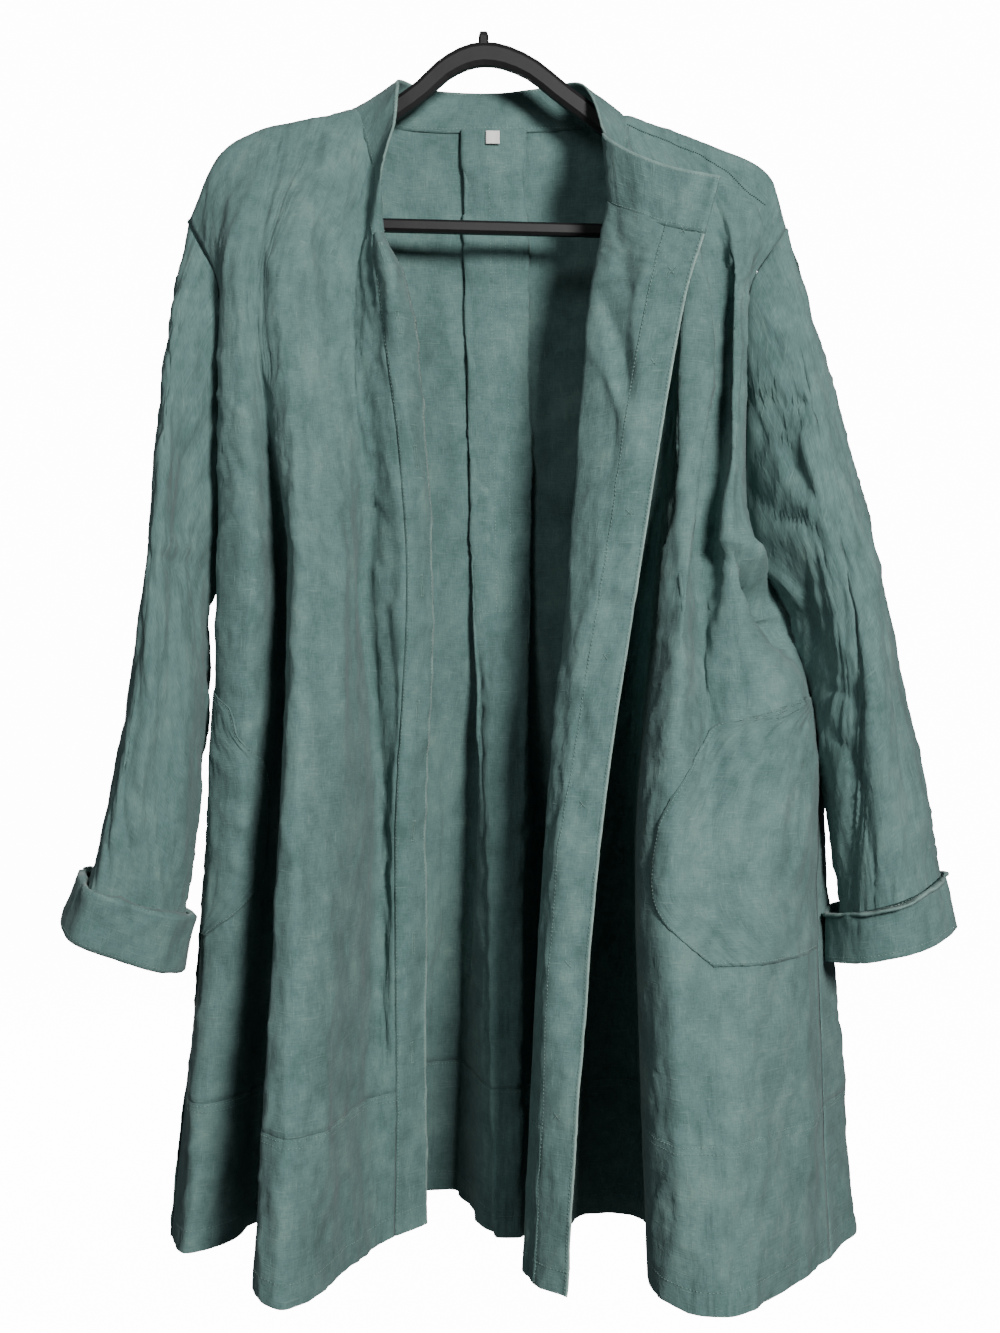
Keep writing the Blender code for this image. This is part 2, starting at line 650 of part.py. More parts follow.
def build_label():
    rows = []
    for z in (-77.5, -83.0, -89.5):
        rows.append([Vector((x, 37.2, z)) for x in (-6.5, 0.0, 6.5)])
    wall("size_label", rows, kind="white", thick=1.0, ends=(0, 0))


def swept(name, centres, widths, heights, kind, sides=8):
    """A moulding of rounded section along a line in the X-Z plane."""
    points, faces = [], []
    for index, centre in enumerate(centres):
        along = centres[min(index + 1, len(centres) - 1)] - centres[max(index - 1, 0)]
        along.normalize()
        up = Vector((-along.z, 0, along.x))
        for side in range(sides):
            turn = 2 * math.pi * (side + 0.5) / sides
            flat = Vector((0, math.copysign(abs(math.cos(turn)) ** 0.6, math.cos(turn)) * widths[index] / 2, 0))
            rise = up * math.copysign(abs(math.sin(turn)) ** 0.6, math.sin(turn)) * heights[index] / 2
            points.append((centre + flat + rise) * MM)
    for index in range(len(centres) - 1):
        for side in range(sides):
            after = (side + 1) % sides
            a, b = index * sides + side, index * sides + after
            faces.append((a, b, b + sides, a + sides))
    faces.append(tuple(range(sides - 1, -1, -1)))
    faces.append(tuple(range((len(centres) - 1) * sides, len(centres) * sides)))
    return solid(name, points, faces, kind)


# The top of the hanger from end to end: x, z of the middle line, height of the face
HANGER_TOP = (
    (-238, -166, 14), (-240, -141, 15), (-228, -120, 16), (-205, -103.8, 17), (-160, -94.6, 17), (-122, -89, 17),
    (-88, -70, 18), (-62, -51, 18), (-45, -35, 19), (-26, -24, 21), (-8, -20, 22), (12, -23, 21),
    (36, -34, 19), (60, -53, 18), (84, -71, 18), (112, -91.5, 18), (165, -108.0, 18), (212, -125.0, 17),
    (236, -146, 15), (240, -166, 14),
)
BAR_Z = (-170.0, -182.0)


def build_hanger():
    middle = [Vector((x, 0, z)) for x, z, height in HANGER_TOP]
    line = through(middle, 2)
    heights = through([Vector((height, 0, 0)) for x, z, height in HANGER_TOP], 2)
    heights = [value.x for value in heights]
    arch = swept("hanger", line, [13.0] * len(line), heights, "plastic")
    bar = swept("bar", [Vector((-238, 0, BAR_Z[0])), Vector((0, 0, sum(BAR_Z) / 2)), Vector((240, 0, BAR_Z[1]))],
                [12.0] * 3, [12.0] * 3, "plastic")
    stub = swept("stub", [Vector((-8, 0, -22)), Vector((-8, 0, -4)), Vector((-8, 0, 0))],
                 [10.0, 9.4, 7.0], [10.0, 9.4, 7.0], "plastic")
    for piece in (bar, stub):
        join = arch.modifiers.new("join", "BOOLEAN")
        join.operation = "UNION"
        join.solver = "EXACT"
        join.object = piece
        piece.hide_render = True
        piece.display_type = "WIRE"


for old in list(bpy.data.objects):
    bpy.data.objects.remove(old, do_unlink=True)
build_body()
build_pockets()
build_sleeves()
build_collar()
build_buttons()
build_label()
build_hanger()
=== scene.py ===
import math
import bpy
import numpy as np
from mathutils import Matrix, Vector, noise


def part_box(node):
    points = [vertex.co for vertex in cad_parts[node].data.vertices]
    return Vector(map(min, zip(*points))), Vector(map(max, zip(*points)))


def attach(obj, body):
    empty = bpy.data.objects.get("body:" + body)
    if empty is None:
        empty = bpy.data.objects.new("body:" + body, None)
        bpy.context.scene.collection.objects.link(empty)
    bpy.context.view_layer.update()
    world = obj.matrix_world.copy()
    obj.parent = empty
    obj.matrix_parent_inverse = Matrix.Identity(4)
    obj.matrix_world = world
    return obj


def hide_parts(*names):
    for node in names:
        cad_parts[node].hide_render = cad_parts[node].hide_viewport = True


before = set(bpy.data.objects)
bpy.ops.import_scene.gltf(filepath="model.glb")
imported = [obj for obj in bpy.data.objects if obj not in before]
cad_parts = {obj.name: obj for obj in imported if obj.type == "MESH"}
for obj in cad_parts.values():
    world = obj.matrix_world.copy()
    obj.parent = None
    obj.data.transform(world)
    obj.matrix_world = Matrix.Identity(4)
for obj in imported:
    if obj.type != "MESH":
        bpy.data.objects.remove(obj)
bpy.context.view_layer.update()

MM = 0.001


# The studio: a white sweep of paper under and far behind the coat, a lamp at the viewer's right, a weaker
# one high at the left, one behind for the coat's back, and an even room light. The camera stands level
# with the coat's middle, 1.6 m in front of the hanger.
EYE = Vector((6.74, -1600.0, -570.0))
FOCAL_PIXELS = 1780.0
PICTURE_MIDDLE = (500.0, 666.0)
PICTURE_HIGH = 1333
SENSOR = 36.0

camera = bpy.data.objects.new("camera", bpy.data.cameras.new("camera"))
camera.location = EYE * MM
camera.rotation_euler = (math.radians(90), 0, 0)
camera.data.sensor_width = SENSOR
camera.data.lens = SENSOR * FOCAL_PIXELS / PICTURE_HIGH
bpy.context.scene.collection.objects.link(camera)
bpy.context.scene.camera = camera


def lamp(name, place, aim, size, power, colour):
    data = bpy.data.lights.new(name, "AREA")
    data.shape = "DISK"
    data.size, data.energy, data.color = size, power, colour
    made = bpy.data.objects.new(name, data)
    made.location = place
    made.rotation_euler = (Vector(aim) - Vector(place)).to_track_quat("-Z", "Y").to_euler()
    bpy.context.scene.collection.objects.link(made)


lamp("key", (1.2, -2.9, 0.35), (0, 0, -0.66), 0.7, 145, (1.0, 0.985, 0.965))
lamp("fill", (-1.6, -3.0, 1.6), (0, 0, -0.5), 1.2, 26, (0.95, 0.98, 1.0))
lamp("rear", (-0.9, 2.8, 0.5), (0, 0, -0.6), 1.0, 60, (1.0, 0.99, 0.97))

world = bpy.data.worlds.new("room")
bpy.context.scene.world = world
world.use_nodes = True
world.node_tree.nodes["Background"].inputs["Color"].default_value = (0.95, 0.97, 1.0, 1)
world.node_tree.nodes["Background"].inputs["Strength"].default_value = 0.08

# The wall stands far beyond the coat, so the coat can be seen from behind too.
SWEEP_FLOOR, SWEEP_WALL, SWEEP_BEND = -1.42, 3.8, 0.9
SWEEP_FRONT, SWEEP_TOP, SWEEP_HALF_WIDTH = -3.2, 3.4, 4.0
profile = [(SWEEP_FRONT, SWEEP_FLOOR)]
for step in range(13):
    turn = math.radians(90 * step / 12)
    profile.append((SWEEP_WALL - SWEEP_BEND + SWEEP_BEND * math.sin(turn),
                    SWEEP_FLOOR + SWEEP_BEND - SWEEP_BEND * math.cos(turn)))
profile.append((SWEEP_WALL, SWEEP_TOP))
sweep_mesh = bpy.data.meshes.new("paper_sweep")
sweep_mesh.from_pydata([(x, y, z) for y, z in profile for x in (-SWEEP_HALF_WIDTH, SWEEP_HALF_WIDTH)], [],
                       [(2 * i, 2 * i + 1, 2 * i + 3, 2 * i + 2) for i in range(len(profile) - 1)])
paper = bpy.data.materials.new("paper")
paper.use_nodes = True
for socket, value in (("Base Color", (0.93, 0.93, 0.92, 1)), ("Roughness", 0.9),
                      ("Emission Color", (1, 1, 1, 1)), ("Emission Strength", 14.0)):
    paper.node_tree.nodes["Principled BSDF"].inputs[socket].default_value = value


def placed(name, mesh, kind):
    mesh.shade_smooth()
    mesh.materials.append(kind)
    made = bpy.data.objects.new(name, mesh)
    bpy.context.scene.collection.objects.link(made)
    return made


sweep = placed("paper_sweep", sweep_mesh, paper)
sweep.visible_diffuse = False
sweep.visible_glossy = False


# The linen: yarn-dyed sage teal, washed soft. Thick and thin yarns (slubs) run both ways, and the dye has taken
# unevenly, bluer and greener in patches. The colour is also darkened along its small creases and in the low
# parts of its rumple, as painted shade. Seam edges have paled in the wash, and their lips are painted paler
# still as a highlight where they catch the light.
class Shade:
    """A node's output, so that shader maths is written as an expression."""

    def __init__(self, tree, socket=None):
        self.tree = tree
        self.socket = socket

    def node(self, kind, settings=(), inputs=(), output=0):
        made = self.tree.nodes.new(kind)
        for name, value in dict(settings).items():
            if name == "stops":
                ramp = made.color_ramp.elements
                ramp[0].position, ramp[0].color = value[0]
                ramp[1].position, ramp[1].color = value[-1]
                for place, colour in value[1:-1]:
                    ramp.new(place).color = colour
            else:
                setattr(made, name, value)
        for key, value in dict(inputs).items():
            if isinstance(value, Shade):
                self.tree.links.new(value.socket, made.inputs[key])
            else:
                made.inputs[key].default_value = value
        return Shade(self.tree, made.outputs[output])

    def maths(self, operation, first, second):
        return self.node("ShaderNodeMath", {"operation": operation}, {0: first, 1: second})

    def __add__(self, other):
        return self.maths("ADD", self, other)

    def __sub__(self, other):
        return self.maths("SUBTRACT", self, other)

    def __rsub__(self, other):
        return self.maths("SUBTRACT", other, self)

    def __mul__(self, other):
        return self.maths("MULTIPLY", self, other)

    def __pow__(self, other):
        return self.maths("POWER", self, other)

    __radd__, __rmul__ = __add__, __mul__

    def stretched(self, size):
        return self.node("ShaderNodeVectorMath", {"operation": "MULTIPLY"}, {0: self, 1: size})

    def grain(self, scale, detail=2.0):
        return self.node("ShaderNodeTexNoise", {}, {"Vector": self, "Scale": scale, "Detail": detail})

    def ridged(self, scale):
        """Sharp valleys, one where each band of the grain crosses its middle."""
        far = self.node("ShaderNodeMath", {"operation": "ABSOLUTE"}, {0: self.grain(scale, 1.0) - 0.5})
        return self.node("ShaderNodeMath", {"operation": "MAXIMUM"}, {0: 1.0 - far * 7.0, 1: 0.0})

    def mixed(self, colour, other):
        return self.node("ShaderNodeMix", {"data_type": "RGBA"}, {0: self, 6: colour, 7: other}, 2)


def finish(name, roughness):
    made = bpy.data.materials.new(name)
    made.use_nodes = True
    shader = made.node_tree.nodes["Principled BSDF"]
    shader.inputs["Roughness"].default_value = roughness
    return made, shader, Shade(made.node_tree)


LINEN_DEEP = (0.066, 0.128, 0.117, 1)
LINEN_BLUE = (0.102, 0.184, 0.178, 1)
LINEN_PALE = (0.152, 0.248, 0.222, 1)
# The palest colour: for slubs, and for edges that are worn and carry a painted highlight on their lips.
LINEN_SLUB_WEAR_AND_HIGHLIGHT = (0.33, 0.46, 0.41, 1)


def linen(name):
    made, shader, start = finish(name, 0.92)
    place = start.node("ShaderNodeTexCoord", output=3)
    cloth = start.node("ShaderNodeUVMap", {"uv_map": "cloth"})
    dye = place.grain(26.0, 3.0)
    wash = place.grain(95.0, 2.0)
    warp = cloth.stretched((900.0, 120.0, 1.0)).grain(1.0, 2.0)
    weft = cloth.stretched((110.0, 900.0, 1.0)).grain(1.0, 2.0)
    thick_yarn = (cloth.stretched((560.0, 52.0, 1.0)).grain(1.0, 1.0) - 0.62) * 6.0
    thick_pick = (cloth.stretched((48.0, 560.0, 1.0)).grain(1.0, 1.0) - 0.62) * 6.0
    slub = start.node("ShaderNodeMath", {"operation": "MAXIMUM", "use_clamp": True},
                      {0: thick_yarn, 1: thick_pick})
    speck = cloth.grain(620.0, 2.0)
    edge = start.node("ShaderNodeAttribute", {"attribute_name": "worn"}, output=2)
    ripple = cloth.stretched((30.0, 7.0, 1.0)).grain(1.0, 2.0)
    rumple = cloth.stretched((75.0, 38.0, 1.0)).grain(1.0, 2.0)
    crinkle = cloth.stretched((34.0, 20.0, 1.0)).ridged(1.0) * cloth.stretched((9.0, 5.0, 1.0)).ridged(1.0)
    # The tint is also darker along the small creases (crinkle) and in the low parts of the rumple, matching the
    # bump: painted shade.
    tint_and_crease_shade = (dye * 0.9 + wash * 0.5 + warp * 0.55 + weft * 0.55 + speck * 0.5 + rumple * 0.3 - crinkle * 0.2
            - 0.15) * 0.34
    colour = start.node(
        "ShaderNodeValToRGB",
        {"stops": ((0.36, LINEN_DEEP), (0.50, LINEN_BLUE), (0.64, LINEN_PALE))}, {0: tint_and_crease_shade})
    colour = (slub * 0.16).mixed(colour, LINEN_SLUB_WEAR_AND_HIGHLIGHT)
    # Marked edges are mixed toward the palest colour: partly wear, partly a painted highlight where the lip
    # catches the light.
    colour = (edge * (0.35 + wash * 0.5)).mixed(colour, LINEN_SLUB_WEAR_AND_HIGHLIGHT)
    weave = warp * 0.5 + weft * 0.5 + slub * 0.35 + speck * 0.25
    height = weave * 0.10 + ripple * 1.2 + rumple * 0.35 - crinkle * 0.10
    bump = start.node("ShaderNodeBump", {}, {"Strength": 0.8, "Distance": 0.006, "Height": height})
    made.node_tree.links.new(colour.socket, shader.inputs["Base Color"])
    made.node_tree.links.new(bump.socket, shader.inputs["Normal"])
    shader.inputs["Sheen Weight"].default_value = 0.08
    shader.inputs["Sheen Roughness"].default_value = 0.6
    shader.inputs["Specular IOR Level"].default_value = 0.15
    return made


linen_cloth = linen("linen")


# How the fronts and the back hang. Each row is one fold line of the cloth, from the neck or shoulder
# down to the hem, in millimetres: name, top (x, y, z), chest (x, y), waist (x, y), hip (x, y),
# hem (x, y, z). The fronts are two pieces cut in one with no dart; the left one is turned back
# outwards along its "fold" line, so its wrong side shows.
CHEST, WAIST, HIP = -250.0, -490.0, -750.0
DOWN = (0.0, 0.17, 0.44, 0.70, 1.0)
BAND = 0.885
RIDGE = 9.0
FRONT_RIGHT = (
    ("placket edge", (-97, -13, -188), (-73, -2), (-56, 15), (-63, 45), (-63, 70, -1092)),
    ("placket seam", (-104, -32, -190), (-97, -28), (-77, -8), (-89, 26), (-90, 40, -1095)),
    ("placket valley", (-103, -38, -152), (-120, -48), (-113, 10), (-104, 38), (-108, 22, -1100)),
    ("inner ridge", (-107, -32, -119), (-142, -62), (-126, -28), (-120, -12), (-128, -30, -1100)),
    ("soft ridge", (-115, -19, -92), (-163, -68), (-142, -60), (-139, -68), (-151, -104, -1101)),
    ("main ridge", (-123, 0, -70), (-178, -66), (-162, -75), (-165, -105), (-176, -133, -1100)),
    ("ridge edge", (-146, 0, -76), (-192, -60), (-176, -56), (-181, -88), (-196, -115, -1094)),
    ("deep valley", (-173, 0, -81), (-205, -52), (-185, 4), (-192, 28), (-213, 78, -1089)),
    ("side ridge", (-207, 0, -88), (-219, -56), (-211, -48), (-224, -18), (-245, 30, -1096)),
    ("side turn", (-243, 0, -109), (-236, -44), (-240, -30), (-251, -2), (-278, 8, -1100)),
    ("side seam", (-272, 3, -168), (-241, -20), (-245, 12), (-262, 38), (-297, 50, -1098)),
)
BACK = (
    ("side seam", (-272, 3, -168), (-243, 40), (-245, 12), (-262, 38), (-297, 50, -1098)),
    ("side turn", (-243, 0, -109), (-236, 58), (-238, 62), (-266, 90), (-293, 112, -1093)),
    ("blade fold", (-207, 0, -88), (-219, 60), (-216, 88), (-236, 122), (-251, 160, -1090)),
    ("blade", (-173, 0, -81), (-184, 64), (-180, 64), (-184, 90), (-188, 130, -1088)),
    ("yoke", (-146, 0, -76), (-158, 62), (-150, 74), (-148, 104), (-154, 150, -1088)),
    ("neck point", (-123, 0, -70), (-133, 62), (-116, 80), (-113, 112), (-122, 158, -1089)),
    ("neck back", (-84, 40, -74), (-77, 60), (-68, 66), (-65, 100), (-78, 166, -1090)),
)
BACK_LEFT = (
    ("neck back", (88, 40, -73), (86, 62), (88, 70), (92, 110), (98, 166, -1090)),
    ("neck point", (118, 0, -76), (134, 62), (130, 82), (134, 118), (145, 160, -1093)),
    ("yoke", (142, 0, -83), (160, 64), (160, 72), (168, 104), (184, 150, -1094)),
    ("blade", (170, 0, -93), (186, 62), (192, 66), (210, 95), (226, 145, -1095)),
    ("blade fold", (205, 0, -106), (213, 58), (228, 84), (268, 106), (292, 150, -1095)),
    ("side turn", (246, 0, -128), (229, 48), (242, 56), (300, 52), (339, 88, -1098)),
    ("side seam", (264, 3, -176), (227, 32), (230, 18), (279, -12), (302, -6, -1100)),
)
FRONT_LEFT = (
    ("free edge", (178, -92, -208), (165, -92), (125, -94), (89, -94), (63, -105, -1100)),
    ("placket seam", (145, -91, -199), (132, -91), (93, -92), (56, -84), (37, -78, -1098)),
    ("flap", (122, -86, -187), (109, -84), (80, -82), (49, -72), (32, -60, -1098)),
    ("fold", (100, -68, -171), (86, -64), (67, -64), (44, -54), (27, -38, -1096)),
    ("under fold", (106, -50, -156), (97, -47), (77, -44), (55, -26), (40, -14, -1095)),
    ("neck front", (113, -46, -138), (136, -48), (108, 6), (92, 55), (88, 102, -1093)),
    ("neck side", (117, -34, -112), (158, -46), (138, 8), (126, 72), (138, 100, -1095)),
    ("ridge edge", (118, 0, -76), (173, -58), (149, -58), (127, -92), (136, -112, -1092)),
    ("light ridge", (142, 0, -83), (187, -66), (168, -78), (150, -124), (165, -144, -1100)),
    ("dark valley", (170, 0, -93), (200, -36), (188, -28), (184, -108), (195, -146, -1101)),
    ("outer ridge", (205, 0, -106), (214, -46), (205, -54), (218, -106), (227, -116, -1100)),
    ("side turn", (246, 0, -128), (224, -36), (219, -40), (254, -68), (269, -55, -1100)),
    ("side seam", (264, 3, -176), (227, -16), (230, 18), (279, -12), (302, -6, -1100)),
)

# The inverted pleat, seen from inside: height share, middle x, outer folds half apart, strip half width,
# strip y, back y
PLEAT = (
    (0.00, 1.0, 2.6, 30.0, 39.5, 47.0),
    (0.17, 4.0, 2.6, 30.0, 57.0, 64.5),
    (0.42, 8.0, 2.6, 29.0, 62.0, 69.5),
    (0.52, 9.0, 14.0, 26.0, 60.0, 78.0),
    (0.70, 11.0, 32.0, 21.0, 56.0, 116.0),
    (1.00, 14.0, 48.0, 15.0, 38.0, 164.0),
)


def slope_at(knots, values, index):
    if index == 0 or index == len(knots) - 1:
        near = min(max(index, 1), len(knots) - 1)
        return (values[near] - values[near - 1]) / (knots[near] - knots[near - 1])
    before = knots[index] - knots[index - 1]
    after = knots[index + 1] - knots[index]
    rise_before = (values[index] - values[index - 1]) / before
    rise_after = (values[index + 1] - values[index]) / after
    if rise_before * rise_after <= 0:
        return 0.0
    return 2 * rise_before * rise_after / (rise_before + rise_after)


def between(knots, values, share):
    """A smooth line through a table's columns, level where a column turns."""
    step = 0
    while step < len(knots) - 2 and share >= knots[step + 1]:
        step += 1
    length = knots[step + 1] - knots[step]
    part = min(max((share - knots[step]) / length, -0.2), 1.2)
    square, cube = part * part, part * part * part
    return ((2 * cube - 3 * square + 1) * values[step]
            + (cube - 2 * square + part) * slope_at(knots, values, step) * length
            + (3 * square - 2 * cube) * values[step + 1]
            + (cube - square) * slope_at(knots, values, step + 1) * length)


def through(points, steps, closed=False):
    """Centripetal curve through points, with a number of steps for each stretch."""
    count = len(points)
    line = []
    for index in range(count if closed else count - 1):
        here, there = points[index], points[(index + 1) % count]
        before = points[(index - 1) % count] if closed or index > 0 else here * 2 - there
        after = points[(index + 2) % count] if closed or index + 2 < count else there * 2 - here
        number = steps[index] if isinstance(steps, (list, tuple)) else steps
        gaps = [max((b - a).length, 1e-6) ** 0.5 for a, b in
                ((before, here), (here, there), (there, after))]
        t1, t2, t3 = gaps[0], gaps[0] + gaps[1], sum(gaps)
        for step in range(number):
            t = t1 + (t2 - t1) * step / number
            a1 = before * ((t1 - t) / t1) + here * (t / t1)
            a2 = here * ((t2 - t) / (t2 - t1)) + there * ((t - t1) / (t2 - t1))
            a3 = there * ((t3 - t) / (t3 - t2)) + after * ((t - t2) / (t3 - t2))
            b1 = a1 * ((t2 - t) / t2) + a2 * (t / t2)
            b2 = a2 * ((t3 - t) / (t3 - t1)) + a3 * ((t - t1) / (t3 - t1))
            line.append(b1 * ((t2 - t) / (t2 - t1)) + b2 * ((t - t1) / (t2 - t1)))
    if not closed:
        line.append(points[-1].copy())
    return line


def fold_point(row, share, side=0.0):
    """A point of one fold line. The cloth bends over the hanger's arm near its top."""
    top, chest, waist, hip, hem = row[1:]
    x = between(DOWN, (top[0], chest[0], waist[0], hip[0], hem[0]), share)
    y = between(DOWN, (top[1], chest[1], waist[1], hip[1], hem[1]), share)
    z = between(DOWN, (top[2], CHEST, WAIST, HIP, hem[2]), share)
    drop = max(top[2] - z, 0.0)
    bend = math.sqrt(drop * (2 * RIDGE - drop)) if drop < RIDGE else RIDGE
    fade = max(0.0, 1.0 - share / DOWN[1]) if abs(top[1]) < 4 else 0.0
    return Vector((x, y + side * bend * fade, z))


def pleat_points(share):
    """The inverted pleat's zigzag, from the right half of the back to the left one."""
    knots = [row[0] for row in PLEAT]
    middle, gap, half, strip_y, back_y = (
        between(knots, [row[column] for row in PLEAT], share) for column in range(1, 6))
    z = between(DOWN, (-75, CHEST, WAIST, HIP, -1096), share)
    back_z = between(DOWN, (-75, CHEST, WAIST, HIP, -1089), share)
    layer = (strip_y + back_y) / 2
    lean = min(6.0, half * 0.25)
    opened = min(max((gap - 2.6) / 20.0, 0.0), 1.0)
    near = (-gap - lean * 0.8) * (1 - opened) - (gap * 0.75 + half * 0.25) * opened
    near_y = layer * (1 - opened) + (back_y * 0.75 + strip_y * 0.25) * opened
    far = (-half + lean) * (1 - opened) - (gap * 0.25 + half * 0.75) * opened
    far_y = layer * (1 - opened) + (back_y * 0.25 + strip_y * 0.75) * opened
    right = (
        (-gap - 24, back_y, back_z), (-gap - lean, back_y, back_z), (-gap, (back_y + near_y) / 2, back_z),
        (near, near_y, (z + back_z) / 2), (far, far_y, z),
        (-half, (strip_y + far_y) / 2, z), (-half + lean * 0.7, strip_y, z),
    )
    left = tuple((-x, y, height) for x, y, height in reversed(right))
    line = right + ((0, strip_y - 1.0, z),) + left
    return [Vector((middle + x, y, height)) for x, y, height in line]


def body_row(part, share):
    """Fold points across a part at one share of the drop."""
    if part == "back":
        right = [fold_point(row, share, 1.0) for row in BACK]
        left = [fold_point(row, share, 1.0) for row in BACK_LEFT]
        if share >= DOWN[2]:
            right[0] = fold_point(FRONT_RIGHT[-1], share)
            left[-1] = fold_point(FRONT_LEFT[-1], share)
        return right + pleat_points(share) + left
    return [fold_point(row, share, -1.0) for row in (FRONT_RIGHT if part == "right" else FRONT_LEFT)]


class Cloth:
    """A fine net of points over one cloth. A place on it is a share of the drop and a fold line's number."""

    def __init__(self, rows, shares, lines, closed=False):
        self.points = np.array([[tuple(point) for point in row] for row in rows])
        self.shares = np.array(shares, float)
        self.lines = np.array(lines, float)
        self.closed = closed
        self.worn = np.zeros(self.points.shape[:2])
        self.measure()

    def measure(self):
        """Normals, and how far along the thread each point lies, in millimetres."""
        wide = np.concatenate([self.points[:, -1:], self.points, self.points[:, :1]], 1) \
            if self.closed else np.pad(self.points, ((0, 0), (1, 1), (0, 0)), "edge")
        across = wide[:, 2:] - wide[:, :-2]
        down = np.gradient(self.points, axis=0)
        facing = np.cross(across, down)
        self.normals = facing / np.maximum(np.linalg.norm(facing, axis=2, keepdims=True), 1e-9)
        steps = np.linalg.norm(np.diff(self.points, axis=1), axis=2)
        self.run = np.concatenate([np.zeros((len(steps), 1)), np.cumsum(steps, 1)], 1)
        drops = np.linalg.norm(np.diff(self.points, axis=0), axis=2)
        self.fall = np.concatenate([np.zeros((1, drops.shape[1])), np.cumsum(drops, 0)], 0)

    def toward_viewer(self):
        """A direction along the normal to the side that the camera sees. It fades where the cloth is edge on."""
        depth = self.normals[:, :, 1:2]
        return self.normals * (-depth / np.maximum(np.abs(depth), 0.35))

    def pictured(self):
        """Where each point shows in the picture, in pixels."""
        way = self.points - np.array(EYE)
        scale = FOCAL_PIXELS / way[:, :, 1]
        return PICTURE_MIDDLE[0] + way[:, :, 0] * scale, PICTURE_MIDDLE[1] - way[:, :, 2] * scale

    def shift(self, amount, ways=None):
        """Moves the net by an amount for each point, in millimetres."""
        ways = self.toward_viewer() if ways is None else ways
        self.points = self.points + ways * amount[:, :, None]
        self.measure()

    def add_column(self, line):
        """A column more, so that a seam can lie in a narrow groove."""
        place = np.interp(line, self.lines, range(len(self.lines)))
        low = min(int(place), len(self.lines) - 2)
        part = place - low
        column = self.points[:, low] * (1 - part) + self.points[:, low + 1] * part
        self.points = np.insert(self.points, low + 1, column, 1)
        self.worn = np.insert(self.worn, low + 1, 0, 1)
        self.lines = np.insert(self.lines, low + 1, line)
        self.measure()

    def add_row(self, share):
        place = np.interp(share, self.shares, range(len(self.shares)))
        low = min(int(place), len(self.shares) - 2)
        part = place - low
        row = self.points[low] * (1 - part) + self.points[low + 1] * part
        self.points = np.insert(self.points, low + 1, row, 0)
        self.worn = np.insert(self.worn, low + 1, 0, 0)
        self.shares = np.insert(self.shares, low + 1, share)
        self.measure()

    def column(self, line):
        return int(np.argmin(abs(self.lines - line)))

    def row(self, share):
        return int(np.argmin(abs(self.shares - share)))

    def place(self, share, line):
        """Row and column, with fractions, of a place on the cloth."""
        row = np.interp(share, self.shares, range(len(self.shares)))
        column = np.interp(line, self.lines, range(len(self.lines)))
        return row, column

    def blend(self, values, share, line):
        row, column = self.place(share, line)
        r, c = min(int(row), len(self.shares) - 2), min(int(column), len(self.lines) - 2)
        v, u = row - r, column - c
        return ((values[r, c] * (1 - u) + values[r, c + 1] * u) * (1 - v)
                + (values[r + 1, c] * (1 - u) + values[r + 1, c + 1] * u) * v)

    def at(self, share, line):
        return self.blend(self.points, share, line)

    def beside(self, share, line, distance):
        """The fold line number that lies a distance along the row."""
        row = int(round(self.place(share, line)[0]))
        run = self.run[row]
        return float(np.interp(np.interp(line, self.lines, run) + distance, run, self.lines))

    def below(self, share, line, distance):
        """The share of the drop that lies a distance down the cloth."""
        column = int(round(self.place(share, line)[1]))
        fall = self.fall[:, column]
        return float(np.interp(np.interp(share, self.shares, fall) + distance, fall, self.shares))


# Creases are drawn where the picture shows them: height toward the viewer in millimetres (negative
# for a valley), half width in pixels, and the pixels that the crease runs through.
CREASE_ROUND = 3.0


def crease_field(cloth, creases, first=-1e9, last=1e9):
    """Raises creases on the stretch of a cloth between two of its fold lines."""
    x, y = cloth.pictured()
    field = np.zeros_like(x)
    mask = np.clip((cloth.lines - first) * 2, 0, 1) * np.clip((last - cloth.lines) * 2, 0, 1)
    for height, width, places in creases:
        nearest = np.full_like(x, 1e9)
        along = np.zeros_like(x)
        lengths = [math.dist(a, b) for a, b in zip(places, places[1:])]
        passed = 0.0
        for (ax, ay), (bx, by), length in zip(places, places[1:], lengths):
            share = np.clip(((x - ax) * (bx - ax) + (y - ay) * (by - ay)) / length ** 2, 0, 1)
            distance = np.hypot(x - ax - share * (bx - ax), y - ay - share * (by - ay))
            closer = distance < nearest
            nearest = np.where(closer, distance, nearest)
            along = np.where(closer, passed + share * length, along)
            passed += length
        taper = np.sin(np.clip(along / passed, 0.04, 0.96) * math.pi) ** 0.6
        field += height * taper * np.exp(-(np.hypot(nearest, CREASE_ROUND) - CREASE_ROUND) / width)
    return field * mask[None, :]


# Heights of the crumple in millimetres, from its longest folds to its smallest cockles.
LONG_FOLD, FACET, CRISP_FOLD, COCKLE = 3.6, 2.3, 1.5, 0.5


